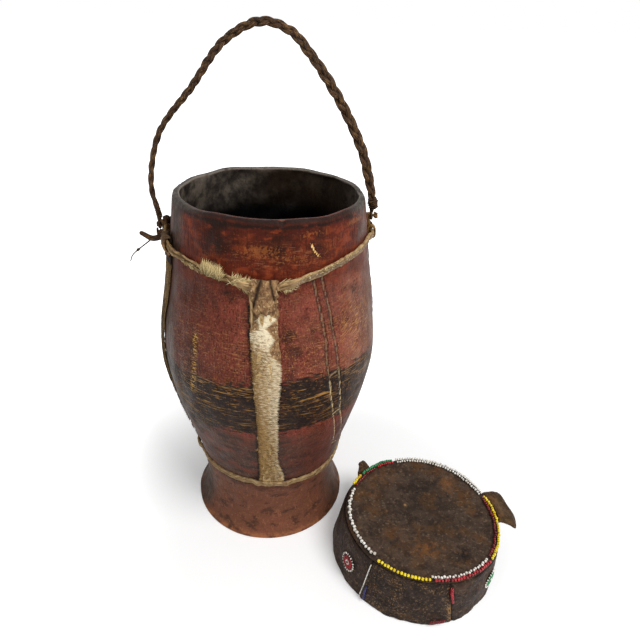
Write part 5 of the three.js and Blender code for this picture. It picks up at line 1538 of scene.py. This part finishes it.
def dress_cap():
    """All of the cap: the top, four wall pieces, two tabs and the beads."""
    cap_top()
    panel("cap_front_panel", SEAMS["front_left"], SEAMS["front_right"], CAP_WALL_LEATHER, 210)
    panel("cap_right_panel", SEAMS["front_right"], SEAMS["right_back"], CAP_SIDE_LEATHER, 220)
    panel("cap_back_panel", SEAMS["right_back"], SEAMS["back_left"], CAP_WALL_LEATHER, 230)
    panel("cap_left_panel", SEAMS["back_left"], SEAMS["front_left"], CAP_SIDE_LEATHER, 240)
    ear("right_ear", 8, 28, 17, 0.98, 3.6, -1.5, EAR_LEATHER)
    ear("left_ear", 130, 14, 10, 0.4, 0.4, -4.5, EAR_LEATHER)
    for place, name, node, start, end, row, made, seed, zigzag, pitch, grown in (
            ("edge", "yellow_front", "yellow_front", -134.5, -96, 0, YELLOW_GLASS, 401, 0, 2.3, 1.1),
            ("edge", "red_front", "red_front", -94, -48, 0, RED_GLASS, 402, 0, 2.15, 1.12),
            ("edge", "yellow_right", "yellow_right", -46, 16, 0, YELLOW_GLASS, 403, 0, 2.0, 1.0),
            ("edge", "white_back", "white_back", 18, 103, 0, WHITE_GLASS, 404, 0.1, 2.15, 0.92),
            ("edge", "green_back", "green_back", 105, 137, 0, GREEN_GLASS, 406, 0, 1.95, 1.15),
            ("edge", "yellow_back", "yellow_back", 139.5, 151, 0, YELLOW_GLASS, 407, 0, 2.0, 1.2),
            ("edge", "white_left", "white_left", 154.5, 222, 1, WHITE_GLASS, 408, 0.3, 2.5, 1.15),
            ("inner", "white_front", "white_front", -96, -47.5, 1, WHITE_GLASS, 409, 0.28, 1.95, 0.95),
            ("inner", "dark_red_right", "darkred_right", -45, 15, 1, DARK_RED_GLASS, 410, 0, 1.9, 1.0),
            ("inner", "white_back", "white_inner", 18, 102, 1, WHITE_GLASS, 411, 0.12, 2.2, 0.88),
            ("inner", "red_back", "red_back", 105, 121.5, 1, RED_GLASS, 405, 0, 1.95, 1.15),
            ("inner", "dark_red_back", "darkred_back", 124, 151.5, 1, DARK_RED_GLASS, 412, 0, 1.9, 1.1)):
        slot = name.rsplit("_", 1)[0] + "_beads"
        edge_row(place + "_beads_" + name, "beads_" + node, start, end, row, made, seed, zigzag, pitch,
                 grown)
    left, right, blue = SEAMS["front_left"], SEAMS["front_right"], (-134.2, -137)
    along = lambda seam, z0, z1: (mix(*seam, z0 / CAP_HEIGHT), mix(*seam, z1 / CAP_HEIGHT), z0, z1)
    for name, line, made, slot, seed, size, apart, rows in (
            ("seam_beads_white", along(left, 36, 4), WHITE_GLASS, "white_beads", 421, 0.42, 2.3, 1),
            ("seam_beads_blue", along(blue, 16, 3.5), BLUE_GLASS, "blue_beads", 422, 0.85, 1.9, 1),
            ("seam_beads_red", along(right, 37, 23), RED_GLASS, "red_beads", 423, 1.15, 1.75, 1),
            ("hem_beads_red", (-91, -81.5, 4.2, 4.2), DARK_RED_GLASS, "red_beads", 424, 0.7, 1.9, 2)):
        wall_row(name + "_line", name, line, made, seed, size, apart, rows)
    rosette("left_rosette_beads", "left_rosette", -155, 18,
            [(0, 0.8, 2, 0), (1.5, 0.62, 1, 0), (2.8, 0.62, 0, 0), (4.0, 0.62, 0, 0), (5.0, 0.5, 2, 0),
             (6.4, 0.5, 1, 1)],
            [RED_GLASS, WHITE_GLASS, DARK_RED_GLASS], 430)
    rosette("right_rosette_beads", "right_rosette", -44, 21,
            [(0, 0.8, 1, 0), (1.5, 0.62, 0, 0), (2.8, 0.62, 0, 0), (4.0, 0.62, 0, 0), (5.0, 0.5, 0, 0),
             (6.4, 0.5, 1, 1)],
            [GREEN_GLASS, WHITE_GLASS], 440)


# The room, the light and the camera

def seen(tree):
    """1 for rays from the camera, straight, off a gloss or through glass, and 0 for light on its way."""
    rays = [put(tree, "LightPath", out=ray) for ray in ("Is Camera Ray", "Is Glossy Ray", "Is Transmission Ray")]
    share = put(tree, "Math", {0: rays[0], 1: rays[1]}, operation="MAXIMUM")
    return put(tree, "Math", {0: share, 1: rays[2]}, operation="MAXIMUM")


def studio():
    """A white floor that keeps the object's shadow, even light from all round and two soft lamps. The floor's
    own light grows with the distance from the object until the floor is as white as the sky."""
    sheet = bpy.data.meshes.new("studio_floor")
    corners = [(x * PAPER_HALF, y * PAPER_HALF, 0) for x, y in ((-1, -1), (1, -1), (1, 1), (-1, 1))]
    sheet.from_pydata(corners, [], [(0, 1, 2, 3)])
    floor = bpy.data.objects.new("studio_floor", sheet)
    bpy.context.scene.collection.objects.link(floor)
    paper = bpy.data.materials.new("studio_paper")
    paper.use_nodes = True
    tree = paper.node_tree
    tree.nodes.clear()
    where = put(tree, "TexCoord", out="Object")
    far = put(tree, "VectorMath", {0: where, 1: PAPER_MIDDLE}, "Value", operation="DISTANCE")
    far = put(tree, "MapRange", {"Value": far, "From Min": PAPER_NEAR, "From Max": PAPER_FAR}, "Result",
              interpolation_type="SMOOTHSTEP")
    glow = put(tree, "MapRange", {"Value": far, "To Min": PAPER_GLOW, "To Max": 1.0}, "Result")
    shown = seen(tree)
    matt = put(tree, "BsdfDiffuse", {"Color": PAPER_GREY})
    light = put(tree, "Emission", {"Color": WHITE, "Strength": product(tree, [glow, shown])})
    both = put(tree, "AddShader", {0: matt, 1: light})
    put(tree, "OutputMaterial", {"Surface": both})
    sheet.materials.append(paper)
    world = bpy.data.worlds.new("studio_world")
    bpy.context.scene.world = world
    world.use_nodes = True
    tree = world.node_tree
    tree.nodes.clear()
    strength = put(tree, "MapRange", {"Value": seen(tree), "To Min": SKY_LIGHT, "To Max": 1.0}, "Result")
    sky = put(tree, "Background", {"Color": WHITE, "Strength": strength})
    put(tree, "OutputWorld", {"Surface": sky})
    for name, place, aim, size, power in LAMPS:
        lamp = bpy.data.lights.new(name, "AREA")
        lamp.shape, lamp.size, lamp.energy = "DISK", size, power
        light = bpy.data.objects.new(name, lamp)
        bpy.context.scene.collection.objects.link(light)
        back = unit(np.array(place) - np.array(aim))
        side = unit(np.cross([0, 0, 1], back))
        up = np.cross(back, side)
        light.matrix_world = Matrix([[side[k], up[k], back[k], place[k]] for k in range(3)] + [[0, 0, 0, 1]])


def camera():
    """The photograph's camera, worked out from the outlines: 30 degrees down, turned 4 and rolled 3 degrees."""
    place = np.array(CAMERA_PLACE) * MM
    pitch, yaw, roll = CAMERA_PITCH, CAMERA_YAW, CAMERA_ROLL
    ahead = np.array([math.sin(yaw) * math.cos(pitch), math.cos(yaw) * math.cos(pitch), -math.sin(pitch)])
    side = unit(np.cross(ahead, [0, 0, 1]))
    up = np.cross(side, ahead)
    right = math.cos(roll) * side + math.sin(roll) * up
    top = -math.sin(roll) * side + math.cos(roll) * up
    data = bpy.data.cameras.new("camera")
    data.sensor_width = CAMERA_SENSOR
    data.lens = CAMERA_LENS
    data.clip_start = 0.01
    view = bpy.data.objects.new("camera", data)
    bpy.context.scene.collection.objects.link(view)
    view.matrix_world = Matrix([[right[k], top[k], -ahead[k], place[k]] for k in range(3)] + [[0, 0, 0, 1]])
    bpy.context.scene.camera = view


camera()
vessel()
neck_band()
waist_band()
for side in STRAP_ANGLES:
    strap(side)
ties()
for number, letter in enumerate("abc"):
    strand(number, letter)
handle_ends()
dress_cap()
studio()

bpy.context.scene.view_settings.view_transform = "Standard"
